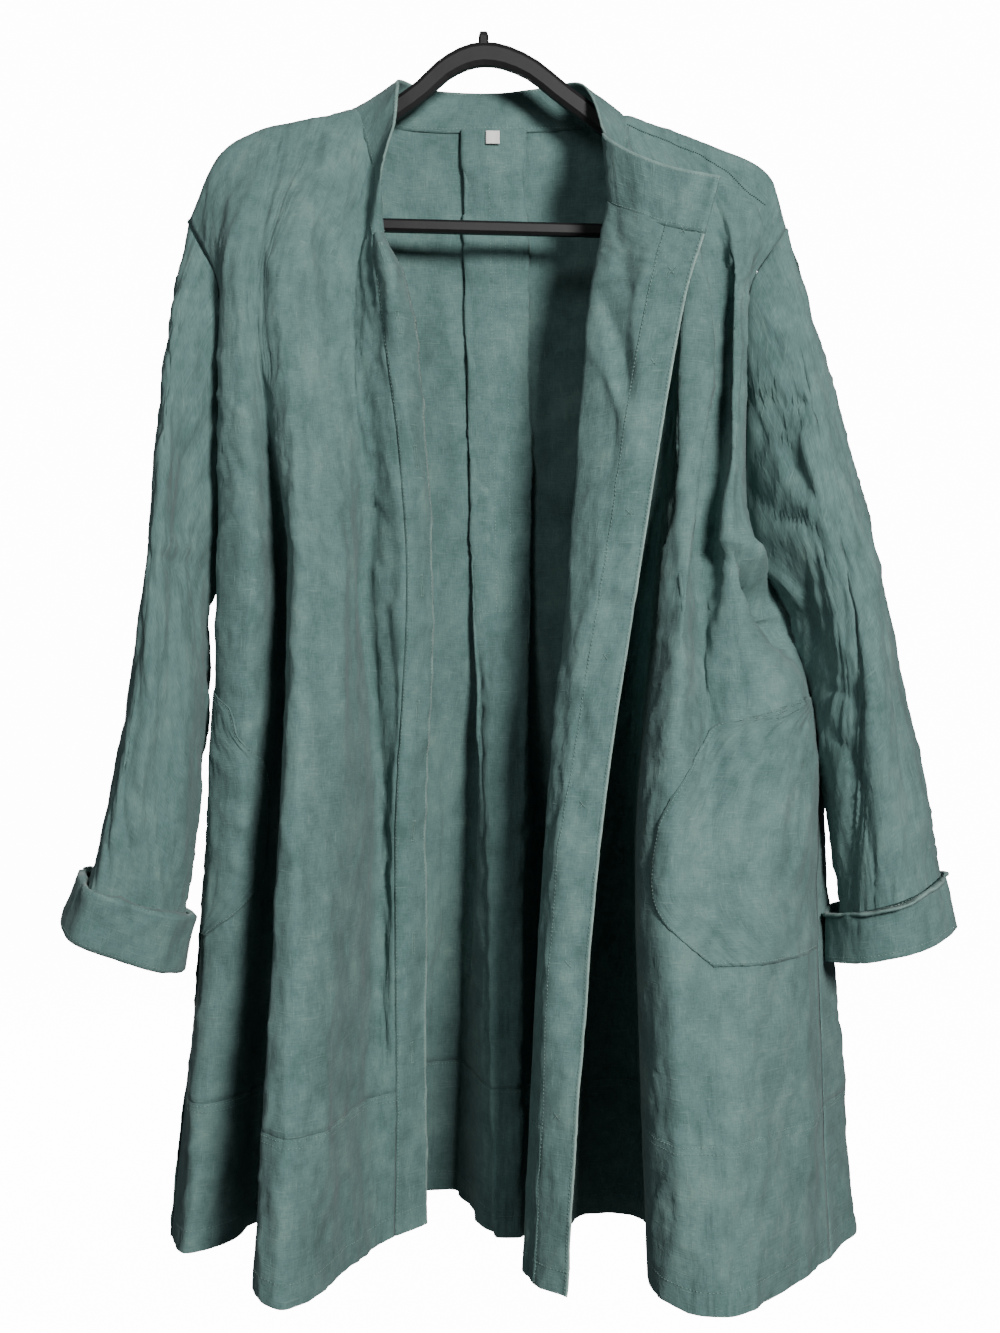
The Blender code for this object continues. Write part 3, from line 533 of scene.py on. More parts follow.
def crumple_field(cloth, seed, soft=1.0, crisp=1.0):
    """The small creases of washed linen: long soft ones down the cloth, short crisp ones every way."""
    field = np.zeros(cloth.points.shape[:2])
    for r, row in enumerate(cloth.points):
        for c, point in enumerate(row):
            u, v = cloth.run[r, c] * MM, cloth.fall[r, c] * MM
            warp = noise.noise((u * 9, v * 4, seed)) * 0.9
            long_fold = noise.noise((u * 24 + warp, v * 6 + warp, seed + 3.0))
            facet = 1 - abs(noise.noise((u * 30 + warp * 2, v * 15 - warp, seed + 7.0))) * 2.4
            crisp_fold = 1 - abs(noise.noise((u * 62 + v * 20, v * 44 - u * 22, seed + 11.0))) * 2.4
            cockle = noise.noise((u * 150, v * 120, seed + 17.0))
            patch = 0.5 + 0.9 * noise.noise((u * 7, v * 7, seed + 23.0))
            steady = min(1.0, 0.25 + cloth.fall[r, c] / 60)
            if not cloth.closed:
                steady *= min(1.0, 0.1 + (cloth.lines[-1] - cloth.lines[c]) * 1.5)
            field[r, c] = steady * (soft * LONG_FOLD * long_fold + crisp * (
                FACET * max(facet, 0.0) ** 2
                + CRISP_FOLD * max(patch, 0.1) * max(crisp_fold, 0.0) ** 2 + COCKLE * cockle))
    return field


def seam_field(distance, seed, depth=0.7, width=2.2, pucker=0.35):
    """A sewn line pulls the cloth in, and puckers it on both sides."""
    groove = -depth * np.exp(-(distance / width) ** 2)
    rows, columns = distance.shape
    waves = np.array([[noise.noise((r * 0.55, c * 0.55, seed)) for c in range(columns)] for r in range(rows)])
    return groove + pucker * waves * np.exp(-(distance / 9.0) ** 2)


def panel(name, cloth, rows, columns, lift=0.0, thick=1.2, kind=None):
    """One cut piece: a stretch of a cloth's net, as a closed thin shell."""
    points = cloth.points[rows[0]:rows[1], columns[0]:columns[1]]
    ways = cloth.toward_viewer()[rows[0]:rows[1], columns[0]:columns[1]]
    points = points + ways * (np.broadcast_to(lift, points.shape[:2])[:, :, None])
    high, wide = points.shape[:2]
    index = np.arange(high * wide).reshape(high, wide)
    if cloth.closed:
        index = np.concatenate([index, index[:, :1]], 1)
    faces = np.stack([index[:-1, :-1], index[:-1, 1:], index[1:, 1:], index[1:, :-1]], -1).reshape(-1, 4)
    mesh = bpy.data.meshes.new(name)
    mesh.from_pydata((points * MM).reshape(-1, 3).tolist(), [], faces.tolist())
    middle_row, middle_column = cloth.points.shape[0] // 2, cloth.points.shape[1] // 2
    u = np.broadcast_to(cloth.run[middle_row][None, :], cloth.points.shape[:2])
    v = np.broadcast_to(cloth.fall[:, middle_column][:, None], cloth.points.shape[:2])
    uv = np.stack([u, v], -1)[rows[0]:rows[1], columns[0]:columns[1]].reshape(-1, 2) * MM
    corners = np.zeros(len(mesh.loops), np.int32)
    mesh.loops.foreach_get("vertex_index", corners)
    mesh.uv_layers.new(name="cloth").data.foreach_set("uv", uv[corners].astype(np.float32).ravel())
    worn = mesh.attributes.new("worn", "FLOAT", "POINT")
    worn.data.foreach_set("value", cloth.worn[rows[0]:rows[1], columns[0]:columns[1]]
                          .astype(np.float32).ravel())
    made = placed(name + "_cloth", mesh, kind or linen_cloth)
    shell = made.modifiers.new("shell", "SOLIDIFY")
    shell.thickness, shell.offset = thick * MM, 0.0
    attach(made, "root")
    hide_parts(name)
    return made


def shares_between(start, end, count, crowd=1.35):
    """Closer together at the top, where the cloth bends over the hanger's arm."""
    return [start + (end - start) * (index / count) ** crowd for index in range(count + 1)]


def body_cloth(part, steps):
    shares = shares_between(0.0, BAND, 215) + shares_between(BAND, 1.0, 28, 1.0)[1:]
    rows = [through(body_row(part, share), steps) for share in shares]
    counts = steps if isinstance(steps, list) else [steps] * (len(body_row(part, 0.5)) - 1)
    lines = [first + step / number for first, number in enumerate(counts) for step in range(number)]
    top = rows[0]
    for c in range(1, len(top) - 1):
        if abs(top[c - 1].y) < 0.5 and abs(top[c + 1].y) < 0.5:
            top[c].y = 0.0
    return Cloth(rows, shares, lines + [len(counts)])


# Stitches are laid one by one in a paler thread, one every 3.3 mm and 2.4 mm long unless a call says otherwise.
# The shoulder seam is drawn with a line of near-black stitches, a painted shadow for the shade in its groove.
thread, thread_shader, thread_start = finish("thread", 0.7)
thread_tint = thread_start.node("ShaderNodeTexCoord", output=3).grain(300.0, 1.0)
thread_colour = thread_tint.mixed((0.14, 0.24, 0.21, 1), (0.36, 0.50, 0.44, 1))
thread.node_tree.links.new(thread_colour.socket, thread_shader.inputs["Base Color"])


# A near-black thread that stands in for the shade in a seam's groove: painted shadow.
seam_shadow_thread, seam_shader, seam_start = finish("seam_shadow_thread", 0.9)
seam_shadow_colour = seam_start.node("ShaderNodeTexCoord", output=3).grain(400.0, 1.0).mixed(
    (0.020, 0.045, 0.042, 1), (0.050, 0.090, 0.082, 1))
seam_shadow_thread.node_tree.links.new(seam_shadow_colour.socket, seam_shader.inputs["Base Color"])


def stitches(name, cloth, runs, parent, height=0.9, pitch=3.3, radius=0.28, kind=None):
    """Rows of stitches along lists of (share, line) places on a cloth."""
    points, faces = [], []
    for run in runs:
        places = [Vector(cloth.at(share, line)) for share, line in run]
        rises = [Vector(cloth.blend(cloth.toward_viewer(), share, line)) for share, line in run]
        left_over = 0.0
        for a, b, rise in zip(places, places[1:], rises):
            length = (b - a).length
            while length > 1e-6 and left_over < length:
                centre = a.lerp(b, left_over / length) + rise * height
                along = (b - a).normalized()
                side = along.cross(rise).normalized() if rise.length > 0.05 else Vector((1, 0, 0))
                up = side.cross(along)
                first = len(points)
                points.append(centre - along * pitch * 0.36)
                for turn in range(4):
                    angle = math.radians(45 + 90 * turn)
                    points.append(centre + (side * math.cos(angle) + up * math.sin(angle)) * radius)
                points.append(centre + along * pitch * 0.36)
                for turn in range(4):
                    one, two = first + 1 + turn, first + 1 + (turn + 1) % 4
                    faces += [(first, two, one), (first + 5, one, two)]
                left_over += pitch
            left_over -= length
    mesh = bpy.data.meshes.new(name)
    mesh.from_pydata([tuple(point * MM) for point in points], [], faces)
    made = placed(name, mesh, kind or thread)
    made.parent = parent
    return made


def traced(cloth, places, count=12):
    """Places on a cloth under a line of pixels, for a seam that is drawn as the picture shows it."""
    x, y = cloth.pictured()
    found = []
    for (ax, ay), (bx, by) in zip(places, places[1:]):
        for step in range(count):
            far = np.hypot(x - ax - (bx - ax) * step / count, y - ay - (by - ay) * step / count)
            weight = np.exp(-(far / 3.0) ** 2)
            total = weight.sum()
            if total > 1e-3:
                found.append((float((weight * cloth.shares[:, None]).sum() / total),
                              float((weight * cloth.lines[None, :]).sum() / total)))
    return found


def down_line(cloth, line, offset, start=0.0, end=1.0, count=160):
    """Places down the cloth beside a fold line, a distance from it."""
    shares = [start + (end - start) * index / count for index in range(count + 1)]
    return [(share, cloth.beside(share, line, offset)) for share in shares]


def across_line(cloth, share, offset, first, last, count=120):
    """Places across the cloth, a distance below a share of the drop."""
    lines = [first + (last - first) * index / count for index in range(count + 1)]
    return [(cloth.below(share, line, offset), line) for line in lines]


# The wearer's right front: one piece from shoulder to hem band, with a double placket 35 mm wide
# lapped over its front edge and a deep hem band lapped over its foot. It hangs in one big fold
# between a deep valley at the side and a softer fold under the neck.
right = body_cloth("right", 10)

# Under the neck the placket stands up toward the viewer and the cloth behind it sinks in. Shift
# toward the viewer in millimetres for each fold line, at five shares of the drop.
STANDING_LIP = (
    (0.0, 18, 34, 40, 26, 0), (0.4, 22, 44, 52, 34, 0), (1.0, 4, 20, 26, 20, 0), (1.6, -10, -4, -6, -2, 0),
    (2.2, -20, -24, -26, -16, 0), (3.0, -20, -26, -28, -18, 0), (3.8, -10, -14, -16, -12, 0),
    (4.6, -2, -4, -6, -4, 0), (5.4, 0, 0, 0, 0, 0),
)
LIP_SHARES = (0.0, 0.06, 0.17, 0.26, 0.42)
lip_lines = [row[0] for row in STANDING_LIP]
for c, line in enumerate(right.lines):
    if line < lip_lines[-1]:
        heights = [between(lip_lines, [row[1 + step] for row in STANDING_LIP], line) for step in range(5)]
        for r, share in enumerate(right.shares):
            if share < LIP_SHARES[-1]:
                right.points[r, c, 1] -= between(LIP_SHARES, heights, share)
right.measure()
RIGHT_CREASES = (
    (-7.0, 5, ((285, 440), (286, 500), (286, 600), (283, 700), (277, 800), (270, 900), (262, 1010),
               (254, 1120), (249, 1250))),
    (4.5, 5, ((296, 470), (296, 600), (293, 700), (286, 800), (281, 900), (274, 1000),
              (265, 1120), (260, 1280))),
    (4.0, 4, ((330, 420), (333, 480), (336, 550), (338, 650), (340, 760))),
    (-4.5, 4, ((352, 480), (359, 560), (368, 637), (374, 690))),
    (-5.0, 5, ((391, 520), (393, 572), (386, 615), (392, 680), (396, 760))),
    (3.5, 4, ((378, 540), (376, 600), (382, 660), (384, 740))),
    (-2.5, 3, ((296, 532), (305, 534), (316, 535))),
    (-5.0, 6, ((374, 440), (372, 520), (368, 600))),
    (3.5, 5, ((362, 480), (356, 560), (356, 640))),
    (-4.8, 9, ((372, 510), (366, 560), (358, 620), (356, 700), (362, 760))),
    (4.2, 9, ((350, 420), (345, 520), (336, 620), (338, 720), (345, 820))),
    (-4.8, 8, ((389, 690), (386, 780), (384, 880), (383, 1000), (385, 1060))),
    (3.5, 10, ((330, 760), (322, 880), (318, 1000), (322, 1100), (330, 1180))),
    (-3.8, 12, ((345, 860), (348, 980), (352, 1090), (360, 1160))),
    (-3.2, 12, ((300, 900), (292, 1010), (288, 1110), (292, 1190))),
    (3.2, 12, ((240, 330), (246, 420), (252, 520), (256, 640))),
    (-2.9, 10, ((262, 250), (268, 340), (272, 450), (276, 560))),
    (-2.6, 7, ((222, 160), (221, 220), (218, 300), (214, 380))),
    (2.6, 8, ((300, 180), (310, 260), (318, 330), (326, 420))),
    (-3.5, 10, ((332, 215), (326, 260), (333, 305), (352, 330))),
)
right.shift(crease_field(right, RIGHT_CREASES, -1e9, 10.05))
right.shift(crumple_field(right, 2.0))
band_row = right.row(BAND)
EDGE_STITCH, HEM_STITCH = 3.0, 20.0


def front_seams(front, seed, placket_depth, edge_pucker):
    """The pull of a front's placket seam, band seam, edge stitching and hem stitching."""
    seam = abs(front.run - front.run[:, [10]])
    band = abs(front.fall - front.fall[band_row][None, :])
    hem = front.fall[-1][None, :] - front.fall
    front.shift(seam_field(seam, seed, placket_depth, 1.4) + seam_field(band, seed + 1.0, 0.3, 1.6)
                + seam_field(abs(front.run - EDGE_STITCH), seed + 2.0, 0.4, 1.2, edge_pucker)
                + seam_field(abs(hem - HEM_STITCH), seed + 3.0, 0.35, 1.2, 0.3))


front_seams(right, 5.0, 0.8, 0.25)


def edged(cloth, seam_line, edge_line=0.0):
    """Close rows and columns beside the seams and the outer edges. Their very lip is paled, partly as wear and
    partly as a painted highlight where the edge catches the light.
    """
    if seam_line:
        cloth.add_column(cloth.beside(0.5, seam_line, -0.45))
        cloth.add_column(cloth.beside(0.5, seam_line, 0.45))
        cloth.add_column(cloth.beside(0.5, edge_line, 2.2))
    middle = (cloth.lines[0] + cloth.lines[-1]) / 2
    cloth.add_row(cloth.below(BAND, middle, -0.45))
    cloth.add_row(cloth.below(BAND, middle, 0.45))
    cloth.add_row(cloth.below(1.0, middle, -1.0))
    # The front's outer edge and the hem's foot are marked pale: wear, and a painted highlight on the lip.
    if seam_line:
        cloth.worn[:, 0] = 1.3
    cloth.worn[-1] = 0.8


def sewn_lift(cloth, rows, columns, seam_line, tuck=-1.1):
    """A front's edge tucks under the placket and the hem band that are sewn over it."""
    lift = np.zeros(cloth.points.shape[:2])
    if seam_line:
        lift[:, :cloth.column(seam_line) + 1] = tuck
    lift[cloth.row(BAND):] = tuck
    return lift[rows[0]:rows[1], columns[0]:columns[1]]


def sewn_panels(side, cloth, proud=0.6, tuck=-1.1, under=2):
    """Front, placket and hem band. A front runs a few columns under the placket that is sewn over it."""
    edged(cloth, 1.0)
    seam, band = cloth.column(1.0), cloth.row(BAND)
    rows, columns = (0, band + 1), (seam - under, None)
    front = panel("front_%s" % side, cloth, rows, columns, sewn_lift(cloth, rows, columns, 1.0, tuck))
    placket = panel("placket_%s" % side, cloth, (0, None), (0, seam if under else seam + 1), proud)
    hem = panel("hem_%s" % side, cloth, (band, None), (seam + 1, None), 0.2)
    return front, placket, hem


front_right, placket_right, hem_right = sewn_panels("right", right)
seam_stitches = [down_line(right, 1.0, -1.8), down_line(right, 0.0, 2.2)]
stitches("placket_right_stitches", right, seam_stitches, placket_right, 1.55)
stitches("hem_right_stitches", right, [
    across_line(right, BAND, 2.0, 1.0, 9.98), across_line(right, BAND, 7.5, 1.0, 9.98),
    across_line(right, 1.0, -20.0, 0.05, 9.98)], hem_right, 1.45)

# Buttonholes, worked upright down the middle of the placket, 60 mm apart at the top and then 102 to
# 113 mm: two banks of close stitches with a bar at each end. The cut between them isn't opened.
BUTTONHOLE_LONG = 19.0
BUTTONHOLE_HEIGHTS = (-212, -272, -384, -497, -610, -720, -824, -926)
for number, height in enumerate(BUTTONHOLE_HEIGHTS, 1):
    middle_line = right.points[:, 5, 2]
    share = float(np.interp(-height, -middle_line, right.shares))
    banks = []
    for side in (-1.15, 1.15):
        banks.append([(right.below(share, 0.5, step - BUTTONHOLE_LONG / 2), right.beside(share, 0.5, side))
                      for step in range(int(BUTTONHOLE_LONG) + 1)])
    for end in (-BUTTONHOLE_LONG / 2, BUTTONHOLE_LONG / 2):
        banks.append([(right.below(share, 0.5, end), right.beside(share, 0.5, side))
                      for side in (-1.8, -0.9, 0.0, 0.9, 1.8)])
    stitches("buttonhole_%d" % number, right, banks, placket_right, 1.65, 0.62, 0.42)


# The wearer's left front, turned back outwards along its fold so that the wrong side of its placket
# shows: the placket's inner fold is edge-stitched, and its free edge has rolled a little.
left = body_cloth("left", 10)

# Below the armhole its side stands out against the sleeve, and its turned-back edge stands toward the
# viewer at the chest. Both are shifts in millimetres.
SIDE_HEIGHTS = (-1000, -760, -700, -650, -600, -560, -520, -490, -460, -430)
SIDE_OUT = (0, 6, 16, 30, 40, 45, 42, 28, 8, 0)


def move_out(cloth, share, heights, amounts):
    """Moves a cloth to the viewer's right by an amount for each height, and a share for each fold line."""
    amount = np.interp(cloth.points[:, :, 2], heights, amounts)
    cloth.points[:, :, 0] += amount * (share * share * (3 - 2 * share))[None, :]
    cloth.measure()


move_out(left, np.clip((left.lines - 9) / 3, 0, 1), SIDE_HEIGHTS, SIDE_OUT)
FLAP_FORWARD, FLAP_WIDE, FLAP_LONG = 26.0, 3.3, 0.42
turned = (np.clip(1 - left.lines / FLAP_WIDE, 0, 1)[None, :]
          * np.clip(1.15 - left.shares / FLAP_LONG, 0, 1)[:, None])
left.points[:, :, 1] -= FLAP_FORWARD * turned
left.measure()
LEFT_CREASES = (
    (-52.0, 13, ((738, 566), (756, 580), (774, 598), (790, 622), (798, 650))),
    (12.0, 6, ((724, 541), (742, 541), (764, 560), (792, 582), (808, 598))),
    (-26.0, 16, ((722, 214), (714, 260), (709, 340), (704, 430), (700, 520), (694, 630))),
    (12.0, 6, ((702, 190), (696, 250), (689, 330), (684, 430), (677, 540))),
    (8.0, 5, ((731, 470), (728, 505), (725, 560))),
    (-6.0, 8, ((738, 640), (744, 700), (740, 760))),
    (4.2, 9, ((690, 300), (696, 400), (700, 500), (704, 600))),
    (-5.6, 11, ((716, 190), (722, 300), (714, 400), (708, 480))),
    (4.2, 7, ((722, 440), (726, 520), (724, 600), (712, 680))),
    (-3.8, 9, ((742, 200), (742, 300), (738, 400))),
    (-3.2, 9, ((690, 150), (700, 200), (712, 260))),
    (3.5, 9, ((742, 740), (720, 830), (722, 920), (738, 960))),
    (-4.2, 9, ((768, 720), (752, 800), (770, 880), (790, 930))),
    (2.9, 8, ((782, 760), (776, 840), (764, 900))),
    (-4.8, 12, ((690, 980), (698, 1060), (700, 1140), (706, 1220))),
    (4.2, 11, ((722, 990), (728, 1080), (736, 1160), (742, 1240))),
    (-4.2, 11, ((762, 980), (770, 1060), (784, 1150), (752, 1250))),
    (3.8, 10, ((800, 960), (802, 1040), (806, 1130), (796, 1210))),
    (2.9, 8, ((672, 940), (676, 1040), (680, 1140), (684, 1260))),
)
left.shift(crease_field(left, LEFT_CREASES, 3.4, 12.05))
FLAP_CREASES = (
    (-5.0, 7, ((600, 290), (612, 330), (624, 372), (632, 400))),
    (4.0, 5, ((597, 300), (604, 345), (616, 400), (628, 440))),
    (3.2, 6, ((603, 582), (618, 588), (636, 592))),
    (-2.6, 6, ((600, 600), (616, 606), (634, 606))),
    (-3.5, 12, ((624, 300), (618, 400), (606, 500), (600, 580))),
    (3.2, 10, ((650, 260), (644, 360), (634, 460), (624, 540))),
    (-2.9, 9, ((588, 640), (582, 740), (574, 840))),
    (2.9, 9, ((566, 760), (562, 880), (554, 1000), (548, 1100))),
    (-2.6, 8, ((612, 190), (622, 260), (630, 300))),
)
left.shift(crease_field(left, FLAP_CREASES, -1.0, 3.2))
left.shift(crumple_field(left, 31.0))
front_seams(left, 35.0, 0.2, 0.3)
front_left, placket_left, hem_left = sewn_panels("left", left, 0.0, 0.0, 0)
SHOULDER_SEAM = ((628, 126), (670, 143), (700, 155), (728, 173), (745, 191), (768, 207))
# The shoulder seam's groove is shown as painted shadow: a line of near-black stitches.
stitches("shoulder_seam_shadow", left, [traced(left, SHOULDER_SEAM)], front_left, 1.5, 2.0, 0.75, seam_shadow_thread)
stitches("placket_left_stitches", left, [down_line(left, 1.0, -1.8), down_line(left, 0.0, 2.4)],
         placket_left, 1.55)
stitches("hem_left_stitches", left, [
    across_line(left, BAND, 2.0, 1.0, 11.98), across_line(left, BAND, 7.5, 3.4, 11.98),
    across_line(left, 1.0, -20.0, 0.05, 11.98)], hem_left, 1.45)

# The thread of each button comes through to the wrong side as a small cross.
BUTTON_PLACES = (0.01, 0.14, 0.265, 0.39, 0.515, 0.64, 0.765, 0.875)
crosses = []
for share in BUTTON_PLACES:
    for side in (-1, 1):
        crosses.append([(left.below(share, 0.5, step), left.beside(share, 0.5, side * step))
                        for step in (-2.6, -1.3, 0.0, 1.3, 2.6)])
stitches("button_threads", left, crosses, placket_left, 1.7, 1.1, 0.45)


# The back: one piece with an inverted box pleat, closed by two rows of topstitching to the waist
# and free below. Through the open front its wrong side shows.
back = body_cloth("back", [10] * 7 + [3] * 14 + [10] * 7)
move_out(back, np.clip((back.lines - 25) / 3, 0, 1), SIDE_HEIGHTS, SIDE_OUT)
BACK_CREASES = (
    (-3.8, 8, ((478, 600), (474, 700), (480, 820), (474, 940))),
    (3.5, 7, ((500, 560), (498, 680), (504, 800), (506, 930))),
    (-3.2, 7, ((520, 600), (516, 720), (524, 840), (520, 960))),
    (2.9, 8, ((440, 260), (446, 340), (454, 420), (460, 500))),
    (-2.9, 8, ((556, 260), (552, 350), (552, 440), (548, 520))),
    (-3.8, 9, ((462, 640), (456, 760), (460, 880), (452, 1000))),
    (3.2, 9, ((438, 700), (440, 820), (444, 940), (436, 1060))),
)
back.shift(crease_field(back, BACK_CREASES))
back.shift(crumple_field(back, 61.0, 1.0, 0.9), back.normals)
back_band = abs(back.fall - back.fall[band_row][None, :])
back_hem = back.fall[-1][None, :] - back.fall
back.shift(seam_field(back_band, 66.0, 0.3, 1.6)
           + seam_field(abs(back_hem - HEM_STITCH), 68.0, 0.35, 1.2, 0.3))
edged(back, None)
back_rows = (0, back.row(BAND) + 1)
back_panel = panel("back", back, back_rows, (0, None), sewn_lift(back, back_rows, (0, None), None))
hem_back = panel("hem_back", back, (back.row(BAND), None), (0, None), 0.2)
PLEAT_MIDDLE = 14.0
PLEAT_ROWS = (-5.0, 9.0)
pleat_rows = [[(share, back.beside(share, PLEAT_MIDDLE, side)) for share in
               [0.03 + 0.44 * step / 80 for step in range(81)]] for side in PLEAT_ROWS]
pleat_rows.append([(0.47, back.beside(0.47, PLEAT_MIDDLE, side)) for side in range(-22, 24, 2)])
stitches("pleat_stitches", back, pleat_rows, back_panel, 0.75)
stitches("hem_back_stitches", back, [
    across_line(back, BAND, 2.0, 0.02, 27.98, 200), across_line(back, 1.0, -20.0, 0.02, 27.98, 200)],
    hem_back, 1.45)


# The half-moon patch pockets lie on the fronts from the side seam, edge-stitched round their curve,
# and stand a little proud at their mouths. Share of the drop, fold line where the curve runs.
POCKET_RIGHT = (
    (0.545, 9.3), (0.561, 8.5), (0.585, 8.2), (0.61, 7.6), (0.655, 7.4), (0.70, 7.4), (0.73, 7.9),
    (0.757, 9.0),
)
POCKET_LEFT = (
    (0.552, 11.4), (0.565, 10.3), (0.578, 9.2), (0.60, 8.6), (0.63, 8.0), (0.66, 7.55), (0.69, 7.4),
    (0.715, 7.5), (0.74, 8.1), (0.763, 9.0),
)


def pocket(name, front, table, count=56):
    knots, edge = [row[0] for row in table], [row[1] for row in table]
    last = front.lines[-1] - 0.06
    curve = through([Vector((share * 40, line, 0)) for share, line in table], 8)
    curve = [(point.x / 40, min(point.y, last - 0.3)) for point in curve]
    rows, places = [], []
    for share, start in curve:
        row = [(share, start + (last - start) * step / count) for step in range(count + 1)]
        rows.append([Vector(front.at(*place)) for place in row])
        places.append(row)
    made = Cloth(rows, [index / (len(curve) - 1) for index in range(len(curve))],
                 [step / count for step in range(count + 1)])
    across = np.array(made.lines)[None, :]
    down = np.array(made.shares)[:, None]
    rim = np.minimum(made.run, np.minimum(made.fall, made.fall[-1][None, :] - made.fall))
    proud = 1.7 + 2.2 * np.sin(down * math.pi) * np.clip(across, 0, 1) ** 2
    made.shift(proud + seam_field(abs(rim - 3.0), 81.0, 0.5, 1.4, 0.35))
    piece = panel(name, made, (0, None), (0, None), 0.0, 1.1)
    rim_run = [(share, made.beside(share, 0.0, 2.6)) for share in
               [0.02 + 0.96 * step / 90 for step in range(91)]]
    ends = [[(at, step / 60) for step in range(61)] for at in (0.012, 0.988)]
    stitches(name + "_stitches", made, [rim_run] + ends, piece, 0.75)
    return piece


pocket_right = pocket("pocket_right", right, POCKET_RIGHT)
pocket_left = pocket("pocket_left", left, POCKET_LEFT)


# The sleeves: set in at a dropped shoulder, wide and soft, pushed up a little so that they buckle
# across. A row for each ring: name, outer (x, z), inner (x, z), crease share, crease y, front y, back y.
SLEEVE_RIGHT = (
    ("shoulder", (-284, -226), (-256, -522), 0.70, -52, -40, 62),
    ("upper arm", (-294, -304), (-256, -560), 0.70, -70, -56, 66),
    ("biceps", (-302, -385), (-256, -602), 0.70, -76, -64, 60),
    ("elbow", (-310, -475), (-259, -648), 0.72, -80, -68, 46),
    ("forearm", (-321, -556), (-263, -692), 0.74, -80, -68, 34),
    ("lower arm", (-333, -632), (-267, -737), 0.76, -78, -66, 26),
    ("wrist", (-345, -695), (-272, -766), 0.76, -74, -62, 18),
    ("cuff top", (-357, -748), (-277, -792), 0.76, -68, -58, 14),
)
SLEEVE_LEFT = (
    ("shoulder", (277, -226), (244, -522), 0.66, -44, -40, 56),
    ("upper arm", (294, -290), (258, -548), 0.62, -64, -56, 60),
    ("biceps", (313, -362), (272, -578), 0.58, -74, -64, 58),
    ("elbow", (331, -432), (284, -612), 0.56, -80, -68, 52),
    ("forearm", (350, -505), (292, -652), 0.56, -80, -66, 46),
    ("lower arm", (368, -585), (300, -695), 0.54, -76, -62, 40),
    ("wrist", (383, -660), (306, -735), 0.52, -70, -58, 32),
    ("cuff top", (396, -742), (313, -788), 0.52, -64, -54, 26),
)
# The turned-back cuffs stand a little off the sleeves: the fold at the bottom, then the raw side's edge.
CUFF_RIGHT = (
    ("fold", (-385, -795), (-279, -842), 0.76, -72, -62, 18),
    ("middle", (-376, -774), (-274, -817), 0.76, -75, -65, 21),
    ("edge", (-366, -753), (-269, -793), 0.76, -77, -67, 23),
)
CUFF_LEFT = (
    ("fold", (417, -803), (300, -834), 0.52, -69, -60, 30),
    ("middle", (413, -778), (299, -812), 0.52, -72, -62, 33),
    ("edge", (407, -753), (298, -790), 0.52, -74, -64, 35),
)


def ring_points(row):
    name, outer, inner, crease_share, crease_y, front_y, back_y = row
    top = Vector((outer[0], 0, outer[1]))
    low = Vector((inner[0], 0, inner[1]))
    places = (
        (1.0, 4), ((1.0 + crease_share) / 2, crease_y * 0.72), (crease_share, crease_y),
        (crease_share * 0.55, front_y), (0.14, front_y * 0.72), (0.0, 4),
        (0.14, back_y * 0.78), (0.45, back_y), (0.72, back_y * 0.95), (0.92, back_y * 0.6),
    )
    return [low.lerp(top, share) + Vector((0, y, 0)) for share, y in places]


def armhole_points(front, rear, outward, shrink):
    """The armhole's edge, from the shoulder down the front and up the back."""
    ring = [fold_point(front[-1], share) for share in (0.0, 0.06, 0.14, 0.27, 0.38, DOWN[2])]
    ring += [fold_point(rear, share) for share in (0.38, 0.27, 0.14, 0.06)]
    centre = sum(ring, Vector()) / len(ring)
    way = math.copysign(outward, ring[0].x)
    return [point + Vector((way, 0, 0)) + (centre - point).normalized() * shrink for point in ring]


def inside_fold(row, inward=2.3):
    """The sleeve's lower edge, just inside the fold of its cuff."""
    ring = ring_points(row)
    centre = sum(ring, Vector()) / len(ring)
    return [point + (centre - point).normalized() * inward for point in ring]


def ring_cloth(rings, around, along):
    rings = [through(ring, around, closed=True) for ring in rings]
    columns = [through([ring[c] for ring in rings], along) for c in range(len(rings[0]))]
    rows = [[column[r] for column in columns] for r in range(len(columns[0]))]
    return Cloth(rows, [r / (len(rows) - 1) for r in range(len(rows))],
                 [c / around for c in range(len(rings[0]))], closed=True)


# Under the left sleeve's first bend its inner side is pushed out, which leaves a dark hollow.
PUSHED_HEIGHTS = (-700, -650, -600, -560, -525, -500, -480, -450)
PUSHED_OUT = (0, 0, 4, 14, 24, 20, 10, 0)


def sleeve(side, table, cuff, front, rear, creases, seed):
    rings = [armhole_points(front, rear, -3.0, 2.2), armhole_points(front, rear, 1.2, -0.6)]
    rings += [ring_points(row) for row in table] + [inside_fold(cuff[0])]
    made = ring_cloth(rings, 10, [3] + [17] * (len(rings) - 2))
    if side == "left":
        move_out(made, np.clip(1 - abs(made.lines - 5) / 3.4, 0, 1), PUSHED_HEIGHTS, PUSHED_OUT)
    made.shift(crease_field(made, creases))
    fade = np.clip(made.fall / 30.0, 0, 1)
    made.shift(crumple_field(made, seed, 1.0, 1.15) * fade, made.normals)
    piece = panel("sleeve_" + side, made, (0, None), (0, None))
    return piece


